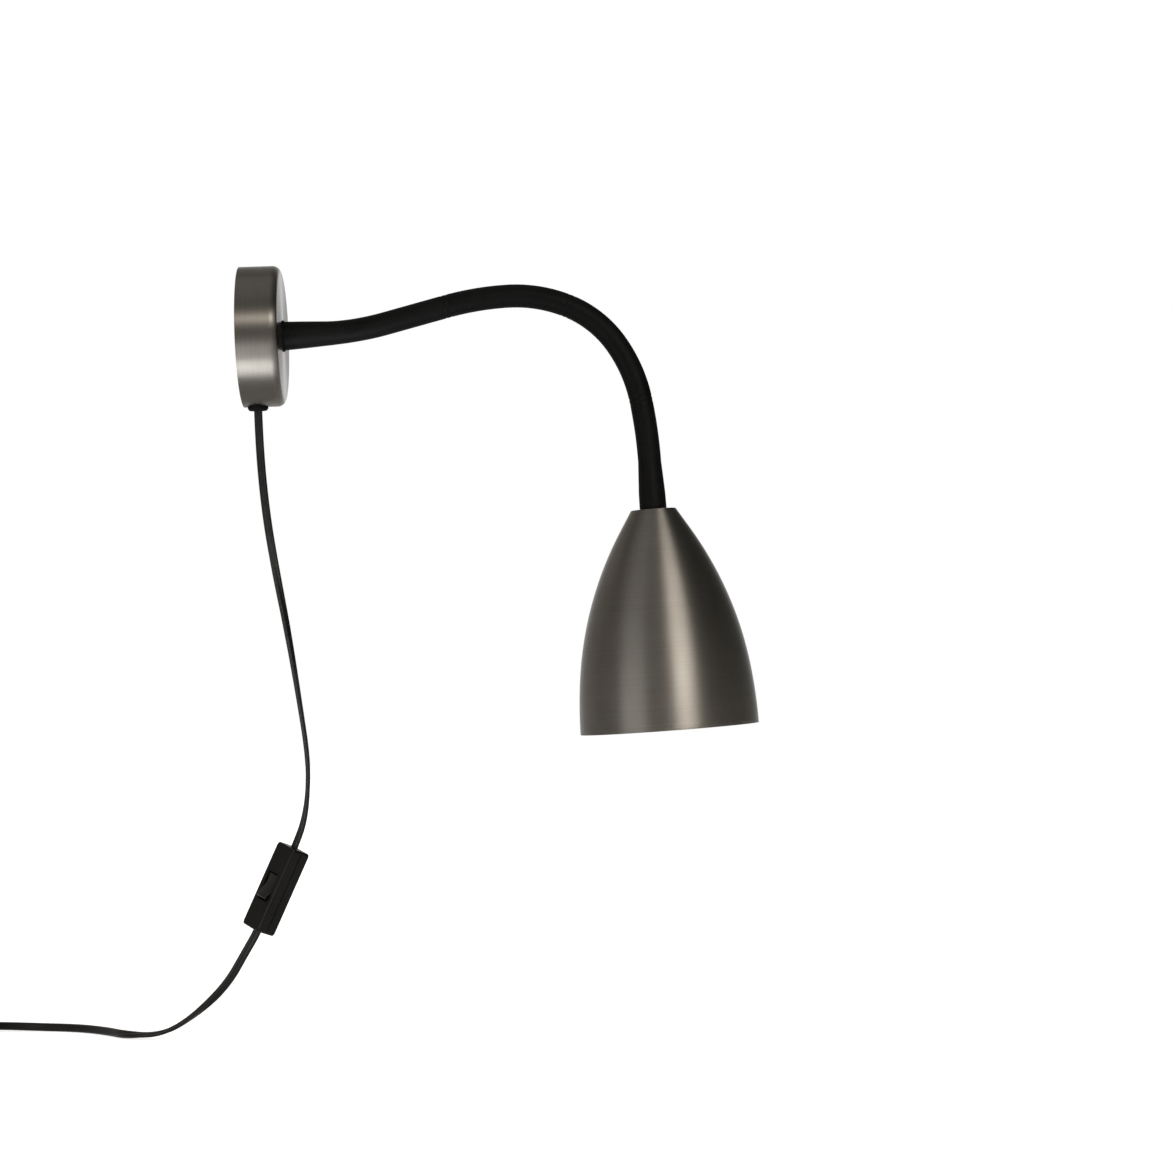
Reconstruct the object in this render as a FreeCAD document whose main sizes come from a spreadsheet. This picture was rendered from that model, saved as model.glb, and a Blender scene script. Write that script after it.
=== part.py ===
"""Gooseneck wall sconce with an in-line switch and a mains lead.

Millimetres, +Z up, +X out of the wall.  The origin is the centre of the wall canopy's back face, so the
wall is the plane X = 0.  The arm bends in the plane Y = 0.
"""
import FreeCAD, Part
import math
import os
import Sketcher

os.makedirs("parts", exist_ok=True)
doc = FreeCAD.newDocument("gooseneck_wall_sconce")
Vec = FreeCAD.Vector
X_AXIS, Y_AXIS, Z_AXIS = Vec(1, 0, 0), Vec(0, 1, 0), Vec(0, 0, 1)

# ---------------------------------------------------------------- driving dimensions

SIZES = [
    ("canopy_diameter", 99.3, "outside of the wall canopy"),
    ("canopy_depth", 29.2, "wall to the canopy's front face"),
    ("canopy_wall", 1.0, "steel sheet of the canopy cup"),
    ("canopy_edge_radius", 5.5, "rolled front edge, outside"),
    ("plate_thickness", 1.5, "back plate"),
    ("plate_gap", 0.3, "back plate to cup, radially"),
    ("keyhole_spacing", 56.0, "centre to centre, along Y"),
    ("keyhole_radius", 4.5, "where a screw head enters"),
    ("keyhole_slot_width", 4.6, "where its shank hangs"),
    ("keyhole_slot_rise", 7.0, "head centre to slot end centre"),
    ("plate_screw_inset", 7.7, "canopy's outside to the plate screws, radially"),
    ("plate_screw_radius", 1.5, "thread of the plate screws"),
    ("plate_screw_head", 2.8, "radius of their countersunk heads"),
    ("plate_screw_length", 8.0, "overall"),
    ("bracket_sheet", 1.2, "rim brackets"),
    ("bracket_reach", 10.0, "foot of a rim bracket, radially"),
    ("bracket_depth", 11.0, "leg of a rim bracket, along X"),
    ("bracket_angle", 15.0, "part of the rim that a bracket covers"),
    ("fit_gap", 0.1, "screws and tubes in their holes"),
    ("nipple_radius", 5.0, "threaded ends of the arm"),
    ("nipple_bore", 3.5, "wire hole in the threaded ends, radius"),
    ("nipple_inside", 9.0, "threaded end behind the canopy's front wall"),
    ("ferrule_length", 14.0, "crimped part of an end ferrule"),
    ("flange_radius", 11.7, "collar under the arm's foot"),
    ("flange_thickness", 1.2, "collar under the arm's foot"),
    ("nut_flats", 14.0, "lock nuts, across flats"),
    ("nut_thickness", 4.0, "lock nuts"),
    ("washer_radius", 8.5, "washer behind the canopy's front wall"),
    ("washer_thickness", 1.0, "washers"),
    ("sleeve_radius", 8.2, "outside of the arm's sleeve"),
    ("core_radius", 6.5, "steel gooseneck core"),
    ("wire_bore", 3.0, "hole through the core for the wires, radius"),
    ("socket_gap", 0.3, "ball to socket at each bend of the arm"),
    ("core_inset", 10.5, "socket centre to the core of a link"),
    ("core_tail", 5.0, "core of a link to its ball centre"),
    ("foot_radius", 10.2, "sleeve where it meets the canopy"),
    ("foot_waist", 23.0, "canopy face to where the flare steepens"),
    ("foot_waist_radius", 9.1, "sleeve there"),
    ("foot_length", 30.0, "canopy face to the first bend"),
    ("foot_rise", 1.7, "degrees that the arm leaves the canopy upwards"),
    ("neck_radius", 9.6, "sleeve where it meets the shade"),
    ("neck_length", 34.0, "last bend to the shade"),
    ("neck_taper_end", 12.0, "where the neck's taper meets its plain end"),
    ("link_length", 44.0, "one link, along its centre line"),
    ("shade_top_radius", 15.7, "flat top of the shade"),
    ("shade_rim_radius", 63.35, "open end of the shade"),
    ("shade_height", 155.8, "top to rim"),
    ("shade_shoulder", 15.0, "height of the plain cone under the top"),
    ("shade_shoulder_part", 0.194, "share of the shade's widening that the cone takes"),
        ("shade_skirt_start", 115.0, "top to the nearly straight skirt"),
    ("shade_skirt_part", 0.058, "share of the shade's widening that the skirt takes"),
    ("shade_wall", 0.8, "spun steel"),
    ("shade_washer_radius", 11.5, "washer inside the shade"),
    ("holder_neck_radius", 8.0, "lampholder cap, at its threaded entry"),
    ("holder_radius", 14.0, "lampholder body, outside"),
    ("holder_wall", 1.8, "lampholder moulding"),
    ("holder_cap_height", 19.0, "lampholder cap"),
    ("holder_body_height", 34.0, "lampholder body"),
    ("insert_height", 9.0, "porcelain insert"),
    ("lamp_cap_radius", 6.9, "screw cap of the bulb"),
    ("lamp_cap_height", 19.0, "screw cap of the bulb"),
    ("shell_wall", 0.4, "brass screw shell"),
    ("globe_radius", 22.5, "glass of the bulb"),
    ("globe_neck_radius", 10.5, "glass of the bulb, at its cap"),
    ("globe_height", 57.0, "glass of the bulb"),
    ("globe_wall", 1.0, "glass of the bulb"),
    ("cord_width", 5.9, "flat twin cord, as a round tube of its width"),
    ("cord_gap", 0.1, "cord in its holes, radially"),
    ("cord_outlet", 9.9, "wall to the cord's outlet, along X"),
    ("bushing_radius", 7.4, "flange of the cord bushing, at the canopy"),
    ("bushing_low_radius", 6.2, "flange of the cord bushing, at its lower end"),
    ("bushing_flange", 2.7, "flange below the canopy"),
    ("bushing_groove_radius", 4.4, "neck of the bushing in the canopy's wall"),
    ("bushing_inside", 3.0, "bushing above the canopy's wall"),
    ("block_length", 20.0, "terminal block, along its wires"),
    ("block_width", 17.0, "terminal block, along Y"),
    ("block_depth", 14.0, "terminal block, off the plate"),
    ("block_pitch", 8.0, "between its two poles"),
    ("block_above", 13.0, "clamp's lower side to the block's, along Z"),
    ("clamp_height", 7.0, "cord clamp, along the cord"),
    ("clamp_width", 20.0, "cord clamp, along Y"),
    ("clamp_inset", 6.65, "canopy's lowest line to the clamp, along Z"),
    ("switch_length", 62.0, "in-line switch"),
    ("switch_width", 19.6, "in-line switch"),
    ("switch_height", 16.5, "both halves together"),
    ("switch_wall", 1.8, "its mouldings"),
    ("switch_corner_radius", 2.0, "its corners, seen on its face"),
    ("switch_edge_radius", 1.6, "its rounded edges"),
    ("switch_lean", 25.7, "degrees from upright"),
    ("rocker_length", 21.2, "opening for the rocker"),
    ("rocker_width", 10.0, "rocker"),
    ("rocker_side_gap", 0.25, "rocker to the opening"),
    ("rocker_pivot_depth", 3.5, "pivot below the switch's face"),
    ("rocker_tilt", 11.0, "degrees from level to either stop"),
    ("pivot_radius", 1.2, "rocker's stub axle"),
    ("pivot_gap", 0.05, "running clearance of the axle"),
    ("coil_radius", 41.0, "outer turn, to the cord's centre"),
    ("coil_pitch", 6.5, "between turns and between layers"),
    ("tie_sheet", 1.0, "strap round the coil"),
    ("tie_width", 8.0, "strap round the coil"),
    ("tie_gap", 0.6, "strap to the cord"),
    ("plug_length", 36.0, "cord inlet to the plug's face"),
    ("plug_width", 26.0, "at its face"),
    ("plug_thickness", 13.7, "at its face"),
    ("plug_pin_radius", 2.0, "plug pins"),
    ("plug_pin_length", 19.0, "plug pins"),
    ("plug_pin_spacing", 18.6, "plug pins"),
    ("tail_length", 47.0, "coil to plug"),
]

LINK_BENDS = [-12.2, 0.1, 12.0, 25.4, 32.7, 23.6, 7.6]   # degrees; positive curls the arm down
LINK_COUNT = len(LINK_BENDS)

# The cord's routes, by their corner points.
UPPER_ROUTE = [
    (10.0, 0.0, -79.6), (13.0, 0.0, -124.6), (18.5, 0.0, -164.6), (26.0, 0.0, -209.6),
    (33.0, 0.0, -261.6), (37.5, 0.0, -299.6), (36.6, 0.0, -324.6), (33.2, 0.0, -344.6),
]
LOWER_ROUTE = [
    (-10.5, 0.0, -434.6), (-25.0, 0.0, -458.6), (-47.9, 0.0, -479.1),
    (-71.0, 0.5, -492.3), (-98.0, 6.5, -492.5), (-116.0, 36.0, -492.5), (-140.0, 62.0, -492.5),
    (-170.0, 77.0, -492.5), (-206.0, 85.0, -491.2), (-242.1, 85.0, -491.2),
]
FLOOR_Z = -495.45                 # what the lead lies on
SWITCH_CENTRE = Vec(11.9, 0, -391.5)
COIL_CENTRE = Vec(-248.0, 44.0, 0)


class Size:
    """A size: its value now, and the formula over the sheet that keeps an object bound to it."""

    def __init__(self, value, formula):
        self.value = float(value)
        self.formula = formula

    def __float__(self):
        return self.value

    def __add__(self, other):
        other = as_size(other)
        return Size(self.value + other.value, f"({self.formula} + {other.formula})")

    def __sub__(self, other):
        other = as_size(other)
        return Size(self.value - other.value, f"({self.formula} - {other.formula})")

    def __mul__(self, other):
        other = as_size(other)
        return Size(self.value * other.value, f"({self.formula} * {other.formula})")

    def __truediv__(self, other):
        other = as_size(other)
        return Size(self.value / other.value, f"({self.formula} / {other.formula})")

    def __radd__(self, other):
        return as_size(other) + self

    def __rsub__(self, other):
        return as_size(other) - self

    def __rmul__(self, other):
        return as_size(other) * self

    def __neg__(self):
        return Size(-self.value, f"(-1 * {self.formula})")


def as_size(number):
    return number if isinstance(number, Size) else Size(number, repr(float(number)))


def sine(angle):
    angle = as_size(angle)
    return Size(math.sin(math.radians(angle.value)), f"sin({angle.formula} * 1 deg)")


def cosine(angle):
    angle = as_size(angle)
    return Size(math.cos(math.radians(angle.value)), f"cos({angle.formula} * 1 deg)")


def make_sheet():
    """Put every driving dimension on the sheet and return them by name."""
    sheet = doc.addObject("Spreadsheet::Sheet", "sizes")
    sizes = {}
    for row, (alias, number, meaning) in enumerate(SIZES, start=1):
        sheet.set(f"A{row}", meaning)
        sheet.set(f"B{row}", str(number))
        sheet.setAlias(f"B{row}", alias)
        sizes[alias] = Size(number, f"sizes.{alias}")
    doc.recompute()
    return sizes


dim = make_sheet()
NODES = []


# ---------------------------------------------------------------- building blocks

def bind(item, prop, size):
    """Give a property its size and keep it tied to the sheet."""
    size = as_size(size)
    item.setExpression(prop, size.formula)


def place(item, x=0, y=0, z=0, turn=None):
    """Set an object's place; sizes among the coordinates stay tied to the sheet."""
    item.Placement = FreeCAD.Placement(Vec(float(x), float(y), float(z)), turn or FreeCAD.Rotation())
    for letter, coordinate in zip("xyz", (x, y, z)):
        if isinstance(coordinate, Size):
            item.setExpression(f"Placement.Base.{letter}", coordinate.formula)
    return item


def facing(direction):
    """The turn that brings +Z to a direction."""
    return FreeCAD.Rotation(Z_AXIS, Vec(*direction))


def cylinder(name, radius, height, x=0, y=0, z=0, along=(0, 0, 1)):
    item = doc.addObject("Part::Cylinder", name)
    bind(item, "Radius", radius)
    bind(item, "Height", height)
    return place(item, x, y, z, facing(along))


def cone(name, radius_1, radius_2, height, x=0, y=0, z=0, along=(0, 0, 1)):
    item = doc.addObject("Part::Cone", name)
    bind(item, "Radius1", radius_1)
    bind(item, "Radius2", radius_2)
    bind(item, "Height", height)
    return place(item, x, y, z, facing(along))


def block(name, length, width, height, x=0, y=0, z=0):
    """A box given by its lowest corner."""
    item = doc.addObject("Part::Box", name)
    bind(item, "Length", length)
    bind(item, "Width", width)
    bind(item, "Height", height)
    return place(item, x, y, z)


def hexagon(name, flats, thickness, x=0, y=0, z=0, along=(0, 0, 1)):
    item = doc.addObject("Part::Prism", name)
    item.Polygon = 6
    bind(item, "Circumradius", flats / math.sqrt(3))
    bind(item, "Height", thickness)
    return place(item, x, y, z, facing(along))


def ball(name, radius, x=0, y=0, z=0):
    item = doc.addObject("Part::Sphere", name)
    bind(item, "Radius", radius)
    return place(item, x, y, z)


def fuse(name, *pieces):
    item = doc.addObject("Part::MultiFuse", name)
    item.Shapes = list(pieces)
    item.Refine = True
    return item


def cut(name, base, *tools):
    item = doc.addObject("Part::Cut", name)
    item.Base = base
    item.Tool = tools[0] if len(tools) == 1 else fuse(name + "_tools", *tools)
    return item


def group(name, pieces):
    """Identical pieces, kept as separate solids of one node."""
    item = doc.addObject("Part::Compound", name)
    item.Links = list(pieces)
    return item


def solid(name, shape):
    item = doc.addObject("Part::Feature", name)
    item.Shape = shape
    return item


def node(name, item, frame=None):
    """Name a finished piece; a frame moves it to its place on the lamp."""
    item.Label = name
    if frame is not None:
        item.Placement = frame
    NODES.append(item)
    return item


def plane_of(body, role):
    return next(feature for feature in body.Origin.OriginFeatures if feature.Role == role)


def sketch_on(body, name, role="XZ_Plane", offset=None):
    """A sketch on one of the body's own planes, or a bound distance off it."""
    sketch = body.newObject("Sketcher::SketchObject", name)
    sketch.AttachmentSupport = [(plane_of(body, role), "")]
    sketch.MapMode = "FlatFace"
    if offset is not None:
        bind(sketch, "AttachmentOffset.Base.z", offset)
    return sketch


def arc_between(start, end, radius, side):
    """The short arc from start to end; side +1 bulges to the right of the way, -1 to the left."""
    chord = end - start
    half = chord.Length / 2
    across = Vec(chord.y, -chord.x, 0).normalize()
    rise = radius - math.sqrt(max(radius * radius - half * half, 0.0))
    return Part.Arc(start, (start + end) / 2 + across * rise * side, end)


def fix_point(sketch, edge, end, x, y):
    """Tie one end of an edge to two sizes measured from the sketch's origin."""
    for kind, axis, coordinate in (("DistanceX", -2, x), ("DistanceY", -1, y)):
        if isinstance(coordinate, Size):
            row = sketch.addConstraint(Sketcher.Constraint(kind, -1, 1, edge, end, coordinate.value))
            sketch.setExpression(f"Constraints[{row}]", coordinate.formula)
        elif coordinate == 0:
            sketch.addConstraint(Sketcher.Constraint("PointOnObject", edge, end, axis))
        else:
            sketch.addConstraint(Sketcher.Constraint(kind, -1, 1, edge, end, float(coordinate)))


def outline(sketch, corners):
    """Draw a closed loop: (x, y) ends a straight edge, (x, y, radius, side) ends an arc."""
    points = [Vec(float(corner[0]), float(corner[1]), 0) for corner in corners]
    first = sketch.GeometryCount
    heads, tails = [], []
    for index, corner in enumerate(corners):
        start, end = points[index - 1], points[index]
        if len(corner) == 2:
            edge = Part.LineSegment(start, end)
        else:
            edge = arc_between(start, end, float(corner[2]), corner[3])
        row = sketch.addGeometry(edge, False)
        swapped = (sketch.getPoint(row, 1) - start).Length > 1e-6
        heads.append(2 if swapped else 1)
        tails.append(1 if swapped else 2)
    for index, corner in enumerate(corners):
        row = first + index
        after = first + (index + 1) % len(corners)
        sketch.addConstraint(
            Sketcher.Constraint("Coincident", row, tails[index], after, heads[(index + 1) % len(corners)]))
        fix_point(sketch, row, tails[index], corner[0], corner[1])
        if len(corner) == 4 and isinstance(corner[2], Size):
            round_row = sketch.addConstraint(Sketcher.Constraint("Radius", row, corner[2].value))
            sketch.setExpression(f"Constraints[{round_row}]", corner[2].formula)


def circle(sketch, radius, x=0, y=0):
    row = sketch.addGeometry(Part.Circle(Vec(float(x), float(y), 0), Z_AXIS, float(radius)), False)
    fix_point(sketch, row, 3, x, y)
    round_row = sketch.addConstraint(Sketcher.Constraint("Radius", row, float(radius)))
    sketch.setExpression(f"Constraints[{round_row}]", as_size(radius).formula)


def rounded_box(sketch, length, width, radius):
    """A rectangle with rounded corners, centred on the sketch's origin."""
    a, b, r = as_size(length) / 2, as_size(width) / 2, as_size(radius)
    outline(sketch, [
        (a, b - r), (a - r, b, r, 1), (r - a, b), (-a, b - r, r, 1),
        (-a, r - b), (r - a, -b, r, 1), (a - r, -b), (a, r - b, r, 1),
    ])


def revolve(name, corners, axis="V_Axis", angle=360.0):
    """A body turned from one outline on its XZ plane, about the sketch's upright or level axis."""
    body = doc.addObject("PartDesign::Body", name)
    sketch = sketch_on(body, name + "_profile")
    outline(sketch, corners)
    turned = body.newObject("PartDesign::Revolution", name + "_turned")
    turned.Profile = sketch
    turned.ReferenceAxis = (sketch, [axis])
    bind(turned, "Angle", angle)
    turned.Midplane = float(angle) < 360
    return body


def pad(body, name, sketch, length, midplane=False, reverse=False):
    feature = body.newObject("PartDesign::Pad", name)
    feature.Profile = sketch
    bind(feature, "Length", length)
    feature.Midplane = midplane
    feature.Reversed = reverse
    return feature


def pocket(body, name, sketch, depth, midplane=False, reverse=False):
    feature = body.newObject("PartDesign::Pocket", name)
    feature.Profile = sketch
    bind(feature, "Length", depth)
    feature.Midplane = midplane
    feature.Reversed = reverse
    return feature


def round_edges(body, name, radius, wanted):
    """Fillet the edges of the body's last feature that the test picks."""
    doc.recompute()
    base = body.Tip
    names = [f"Edge{row}" for row, edge in enumerate(base.Shape.Edges, start=1) if wanted(edge)]
    feature = body.newObject("PartDesign::Fillet", name)
    feature.Base = (base, names)
    bind(feature, "Radius", radius)
    return feature


# ---------------------------------------------------------------- wall canopy

canopy_radius = dim["canopy_diameter"] / 2
cup_inner_radius = canopy_radius - dim["canopy_wall"]
cup_front_inside = dim["canopy_depth"] - dim["canopy_wall"]
arm_hole_radius = dim["nipple_radius"] + dim["fit_gap"]
bushing_hole_radius = dim["bushing_groove_radius"] + dim["fit_gap"]


def canopy_cup():
    """Deep-drawn cup: open to the wall, rolled front edge, a hole for the arm and one for the cord."""
    depth, wall, roll = dim["canopy_depth"], dim["canopy_wall"], dim["canopy_edge_radius"]
    body = revolve("cup_body", [
        (0, canopy_radius), (depth - roll, canopy_radius), (depth, canopy_radius - roll, roll, -1),
        (depth, arm_hole_radius), (cup_front_inside, arm_hole_radius),
        (cup_front_inside, canopy_radius - roll), (depth - roll, cup_inner_radius, roll - wall, 1),
        (0, cup_inner_radius),
    ], axis="H_Axis")
    outlet = sketch_on(body, "cord_outlet", "XY_Plane")
    circle(outlet, bushing_hole_radius, dim["cord_outlet"], 0)
    pocket(body, "cord_outlet_cut", outlet, canopy_radius + dim["canopy_wall"])
    return node("canopy_cup", body)


def back_plate():
    """Flat disc in the back of the cup, with two keyholes and three countersunk screw holes."""
    body = doc.addObject("PartDesign::Body", "plate_body")
    disc = sketch_on(body, "plate_disc", "YZ_Plane")
    circle(disc, cup_inner_radius - dim["plate_gap"])
    pad(body, "plate_pad", disc, dim["plate_thickness"])
    keyhole = sketch_on(body, "keyhole", "YZ_Plane")
    centre = dim["keyhole_spacing"] / 2
    half_slot = dim["keyhole_slot_width"] / 2
    mouth = 0.5 * dim["keyhole_radius"]
    slot_end = dim["keyhole_slot_rise"]
    circle(keyhole, dim["keyhole_radius"], centre, 0)
    pocket(body, "keyhole_cut", keyhole, dim["plate_thickness"], reverse=True)
    slot = sketch_on(body, "keyhole_slot", "YZ_Plane")
    outline(slot, [
        (centre + half_slot, mouth), (centre + half_slot, slot_end),
        (centre - half_slot, slot_end), (centre - half_slot, mouth),
    ])
    pocket(body, "keyhole_slot_cut", slot, dim["plate_thickness"], reverse=True)
    rest = sketch_on(body, "keyhole_end", "YZ_Plane")
    circle(rest, half_slot, centre, slot_end)
    pocket(body, "keyhole_end_cut", rest, dim["plate_thickness"], reverse=True)
    doc.recompute()
    pair = body.newObject("PartDesign::Mirrored", "keyhole_pair")
    pair.Originals = [body.getObject(f"keyhole{part}_cut") for part in ("", "_slot", "_end")]
    pair.MirrorPlane = (plane_of(body, "XZ_Plane"), [""])
    body.Tip = pair
    holes = []
    for number in range(3):
        screw_hole = screw("plate_hole", number, dim["fit_gap"])
        holes.append(screw_hole)
    for side in (-1, 1):
        holes.append(cylinder("clamp_hole", clamp_thread_radius + dim["fit_gap"], dim["plate_thickness"],
                              x=0, y=side * clamp_screw_y, z=clamp_middle, along=(1, 0, 0)))
    return node("back_plate", cut("plate_cut", body, *holes))


def rim_turn(number):
    """One of three places round the rim, the first at the top."""
    return FreeCAD.Rotation(X_AXIS, 120.0 * number)


def screw(name, number, extra=0):
    """A countersunk screw along +X, its head flush with the plate's back."""
    head = dim["plate_screw_head"] + extra
    shank = dim["plate_screw_radius"] + extra
    taper = dim["plate_screw_head"] - dim["plate_screw_radius"]
    body = revolve(f"{name}_{number}", [
        (0, 0), (0, head), (taper, shank), (dim["plate_screw_length"], shank),
        (dim["plate_screw_length"], 0),
    ], axis="H_Axis")
    reach = Vec(0, 0, float(canopy_radius - dim["plate_screw_inset"]))
    body.Placement = FreeCAD.Placement(rim_turn(number).multVec(reach), FreeCAD.Rotation())
    return body


def rim_bracket(number):
    """L-shaped bracket spot-welded inside the rim; its foot takes a plate screw."""
    foot = dim["plate_thickness"]
    sheet, reach, depth = dim["bracket_sheet"], dim["bracket_reach"], dim["bracket_depth"]
    body = revolve(f"bracket_{number}", [
        (foot, cup_inner_radius - reach), (foot, cup_inner_radius), (foot + depth, cup_inner_radius),
        (foot + depth, cup_inner_radius - sheet), (foot + sheet, cup_inner_radius - sheet),
        (foot + sheet, cup_inner_radius - reach),
    ], axis="H_Axis", angle=dim["bracket_angle"])
    hole = sketch_on(body, f"bracket_hole_{number}", "YZ_Plane")
    circle(hole, dim["plate_screw_radius"] + dim["fit_gap"], 0, canopy_radius - dim["plate_screw_inset"])
    pocket(body, f"bracket_cut_{number}", hole, foot + depth, reverse=True)
    body.Placement = FreeCAD.Placement(Vec(), rim_turn(number))
    return body


def canopy_fasteners():
    node("rim_brackets", group("brackets", [rim_bracket(number) for number in range(3)]))
    node("plate_screws", group("plate_screw_set", [screw("plate_screw", number) for number in range(3)]))


# ---------------------------------------------------------------- arm, as a chain of ball-jointed links

class Station:
    """A place on the arm's centre line: its point and the way the arm runs there."""

    def __init__(self, point, angle):
        self.point = point
        self.angle = angle                 # degrees below the horizontal

    @property
    def way(self):
        return Vec(math.cos(math.radians(self.angle)), 0, -math.sin(math.radians(self.angle)))

    @property
    def down(self):
        """Across the arm, in its plane, on the side it curls towards."""
        return Vec(-math.sin(math.radians(self.angle)), 0, -math.cos(math.radians(self.angle)))

    def along(self, length, bend):
        """The station after an arc of a given length and bend."""
        turn = math.radians(bend)
        if abs(turn) < 1e-6:
            return Station(self.point + self.way * length, self.angle)
        radius = length / turn
        forward = self.way * (radius * math.sin(turn))
        return Station(self.point + forward + self.down * (radius * (1 - math.cos(turn))), self.angle + bend)


def arm_stations():
    """The centres of the bends, from the wall outwards, and the end of the arm at the shade."""
    foot = Station(Vec(float(dim["canopy_depth"]), 0, 0), -float(dim["foot_rise"]))
    stations = [foot.along(float(dim["foot_length"]), 0)]
    for bend in LINK_BENDS:
        stations.append(stations[-1].along(float(dim["link_length"]), bend))
    return foot, stations, stations[-1].along(float(dim["neck_length"]), 0)


arm_foot, bends, arm_end = arm_stations()


def bent_rod(start, length, bend, radius):
    """A round rod that follows the arm from a station."""
    profile = Part.Face(Part.Wire(Part.makeCircle(radius, start.point, start.way)))
    if abs(bend) < 1e-6:
        return profile.extrude(start.way * length)
    bend_radius = length / math.radians(bend)
    centre = start.point + start.down * bend_radius
    return profile.revolve(centre, Y_AXIS, bend)


def dome(station, radius):
    """Half a ball on the end of a link."""
    return Part.makeSphere(radius, station.point, station.way, 0, 90, 360)


def link_part(start, bend, skipped, length, radius):
    """A rod that follows one link's arc from a distance past its start."""
    whole = float(dim["link_length"])
    return bent_rod(start.along(skipped, bend * skipped / whole), length, bend * length / whole, radius)


def arm_link(number, start, end, bend):
    """A sleeve that ends in a ball and starts in a socket round the last link's ball, and its steel core."""
    length, sleeve = float(dim["link_length"]), float(dim["sleeve_radius"])
    core, bore = float(dim["core_radius"]), float(dim["wire_bore"])
    inset, tail = float(dim["core_inset"]), float(dim["core_tail"])
    outer = bent_rod(start, length, bend, sleeve).fuse(dome(end, sleeve))
    socket = Part.makeSphere(sleeve + float(dim["socket_gap"]), start.point)
    chamber = link_part(start, bend, inset, length - inset - tail, core)
    wire_way = bent_rod(start, length, bend, bore).fuse(bent_rod(end, 2 * sleeve, 0, bore))
    node(f"arm_sleeve_{number}", solid(f"sleeve_{number}", outer.cut(socket).cut(chamber).cut(wire_way)))
    hollow = chamber.cut(link_part(start, bend, inset / 2, length, bore))
    node(f"arm_core_{number}", solid(f"core_{number}", hollow))


def arm_links():
    for number, bend in enumerate(LINK_BENDS, start=1):
        arm_link(number, bends[number - 1], bends[number], bend)


def foot_sleeve():
    """The arm's foot: a flared sleeve from the collar to the first bend."""
    collar_face = float(dim["canopy_depth"] + dim["flange_thickness"])
    length = float(dim["foot_length"])
    waist, waist_radius = float(dim["foot_waist"]), float(dim["foot_waist_radius"])
    flare = Part.makeCone(float(dim["foot_radius"]), waist_radius, waist, arm_foot.point, arm_foot.way)
    flare = flare.fuse(Part.makeCone(waist_radius, float(dim["sleeve_radius"]), length - waist,
                                     arm_foot.point + arm_foot.way * waist, arm_foot.way))
    first = bends[0]
    reach = 2 * float(dim["foot_radius"])
    behind = Part.makeBox(reach, 2 * reach, 2 * reach, Vec(collar_face - reach, -reach, -reach))
    ferrule = Part.makeCylinder(float(dim["core_radius"]), float(dim["ferrule_length"]),
                                Vec(collar_face, 0, 0), X_AXIS)
    bore = bent_rod(arm_foot, length + reach, 0, float(dim["wire_bore"]))
    shape = flare.fuse(dome(first, float(dim["sleeve_radius"]))).cut(behind).cut(ferrule).cut(bore)
    return node("foot_sleeve", solid("foot_sleeve_solid", shape))


def base_fittings():
    """What holds the arm in the canopy: collar outside, ferrule through the wall, washer and nut inside."""
    face, collar = dim["canopy_depth"], dim["flange_thickness"]
    shoulder = face + collar
    thread_end = cup_front_inside - dim["nipple_inside"]
    rounding = collar / 2
    node("arm_collar", revolve("collar", [
        (face, arm_hole_radius), (face, dim["flange_radius"]), (face + rounding, dim["flange_radius"]),
        (shoulder, dim["flange_radius"] - rounding, rounding, -1), (shoulder, arm_hole_radius),
    ], axis="H_Axis"))
    node("foot_ferrule", revolve("ferrule_foot", [
        (thread_end, dim["nipple_bore"]), (thread_end, dim["nipple_radius"]),
        (shoulder, dim["nipple_radius"]), (shoulder, dim["core_radius"]),
        (shoulder + dim["ferrule_length"], dim["core_radius"]),
        (shoulder + dim["ferrule_length"], dim["nipple_bore"]),
    ], axis="H_Axis"))
    inside = cup_front_inside - dim["washer_thickness"]
    washer = cylinder("washer_disc", dim["washer_radius"], dim["washer_thickness"], x=inside,
                      along=(1, 0, 0))
    washer_hole = cylinder("washer_hole", arm_hole_radius, dim["washer_thickness"], x=inside,
                           along=(1, 0, 0))
    node("foot_washer", cut("washer_foot", washer, washer_hole))
    nut_back = inside - dim["nut_thickness"]
    nut = hexagon("foot_nut_body", dim["nut_flats"], dim["nut_thickness"], x=nut_back, along=(1, 0, 0))
    nut_hole = cylinder("foot_nut_hole", arm_hole_radius, dim["nut_thickness"], x=nut_back, along=(1, 0, 0))
    node("foot_nut", cut("nut_foot", nut, nut_hole))


# ---------------------------------------------------------------- wiring in the canopy

clamp_low = dim["clamp_inset"] - canopy_radius
block_low = clamp_low + dim["block_above"]
block_top = block_low + dim["block_length"]
clamp_middle = clamp_low + dim["clamp_height"] / 2
clamp_depth = dim["cord_outlet"] + dim["cord_width"] / 2 + 1.5 - dim["plate_thickness"]
clamp_screw_y = dim["clamp_width"] / 2 - 3.0
clamp_thread_radius = as_size(1.25)
cord_hole_radius = dim["cord_width"] / 2 + dim["cord_gap"]


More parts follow.
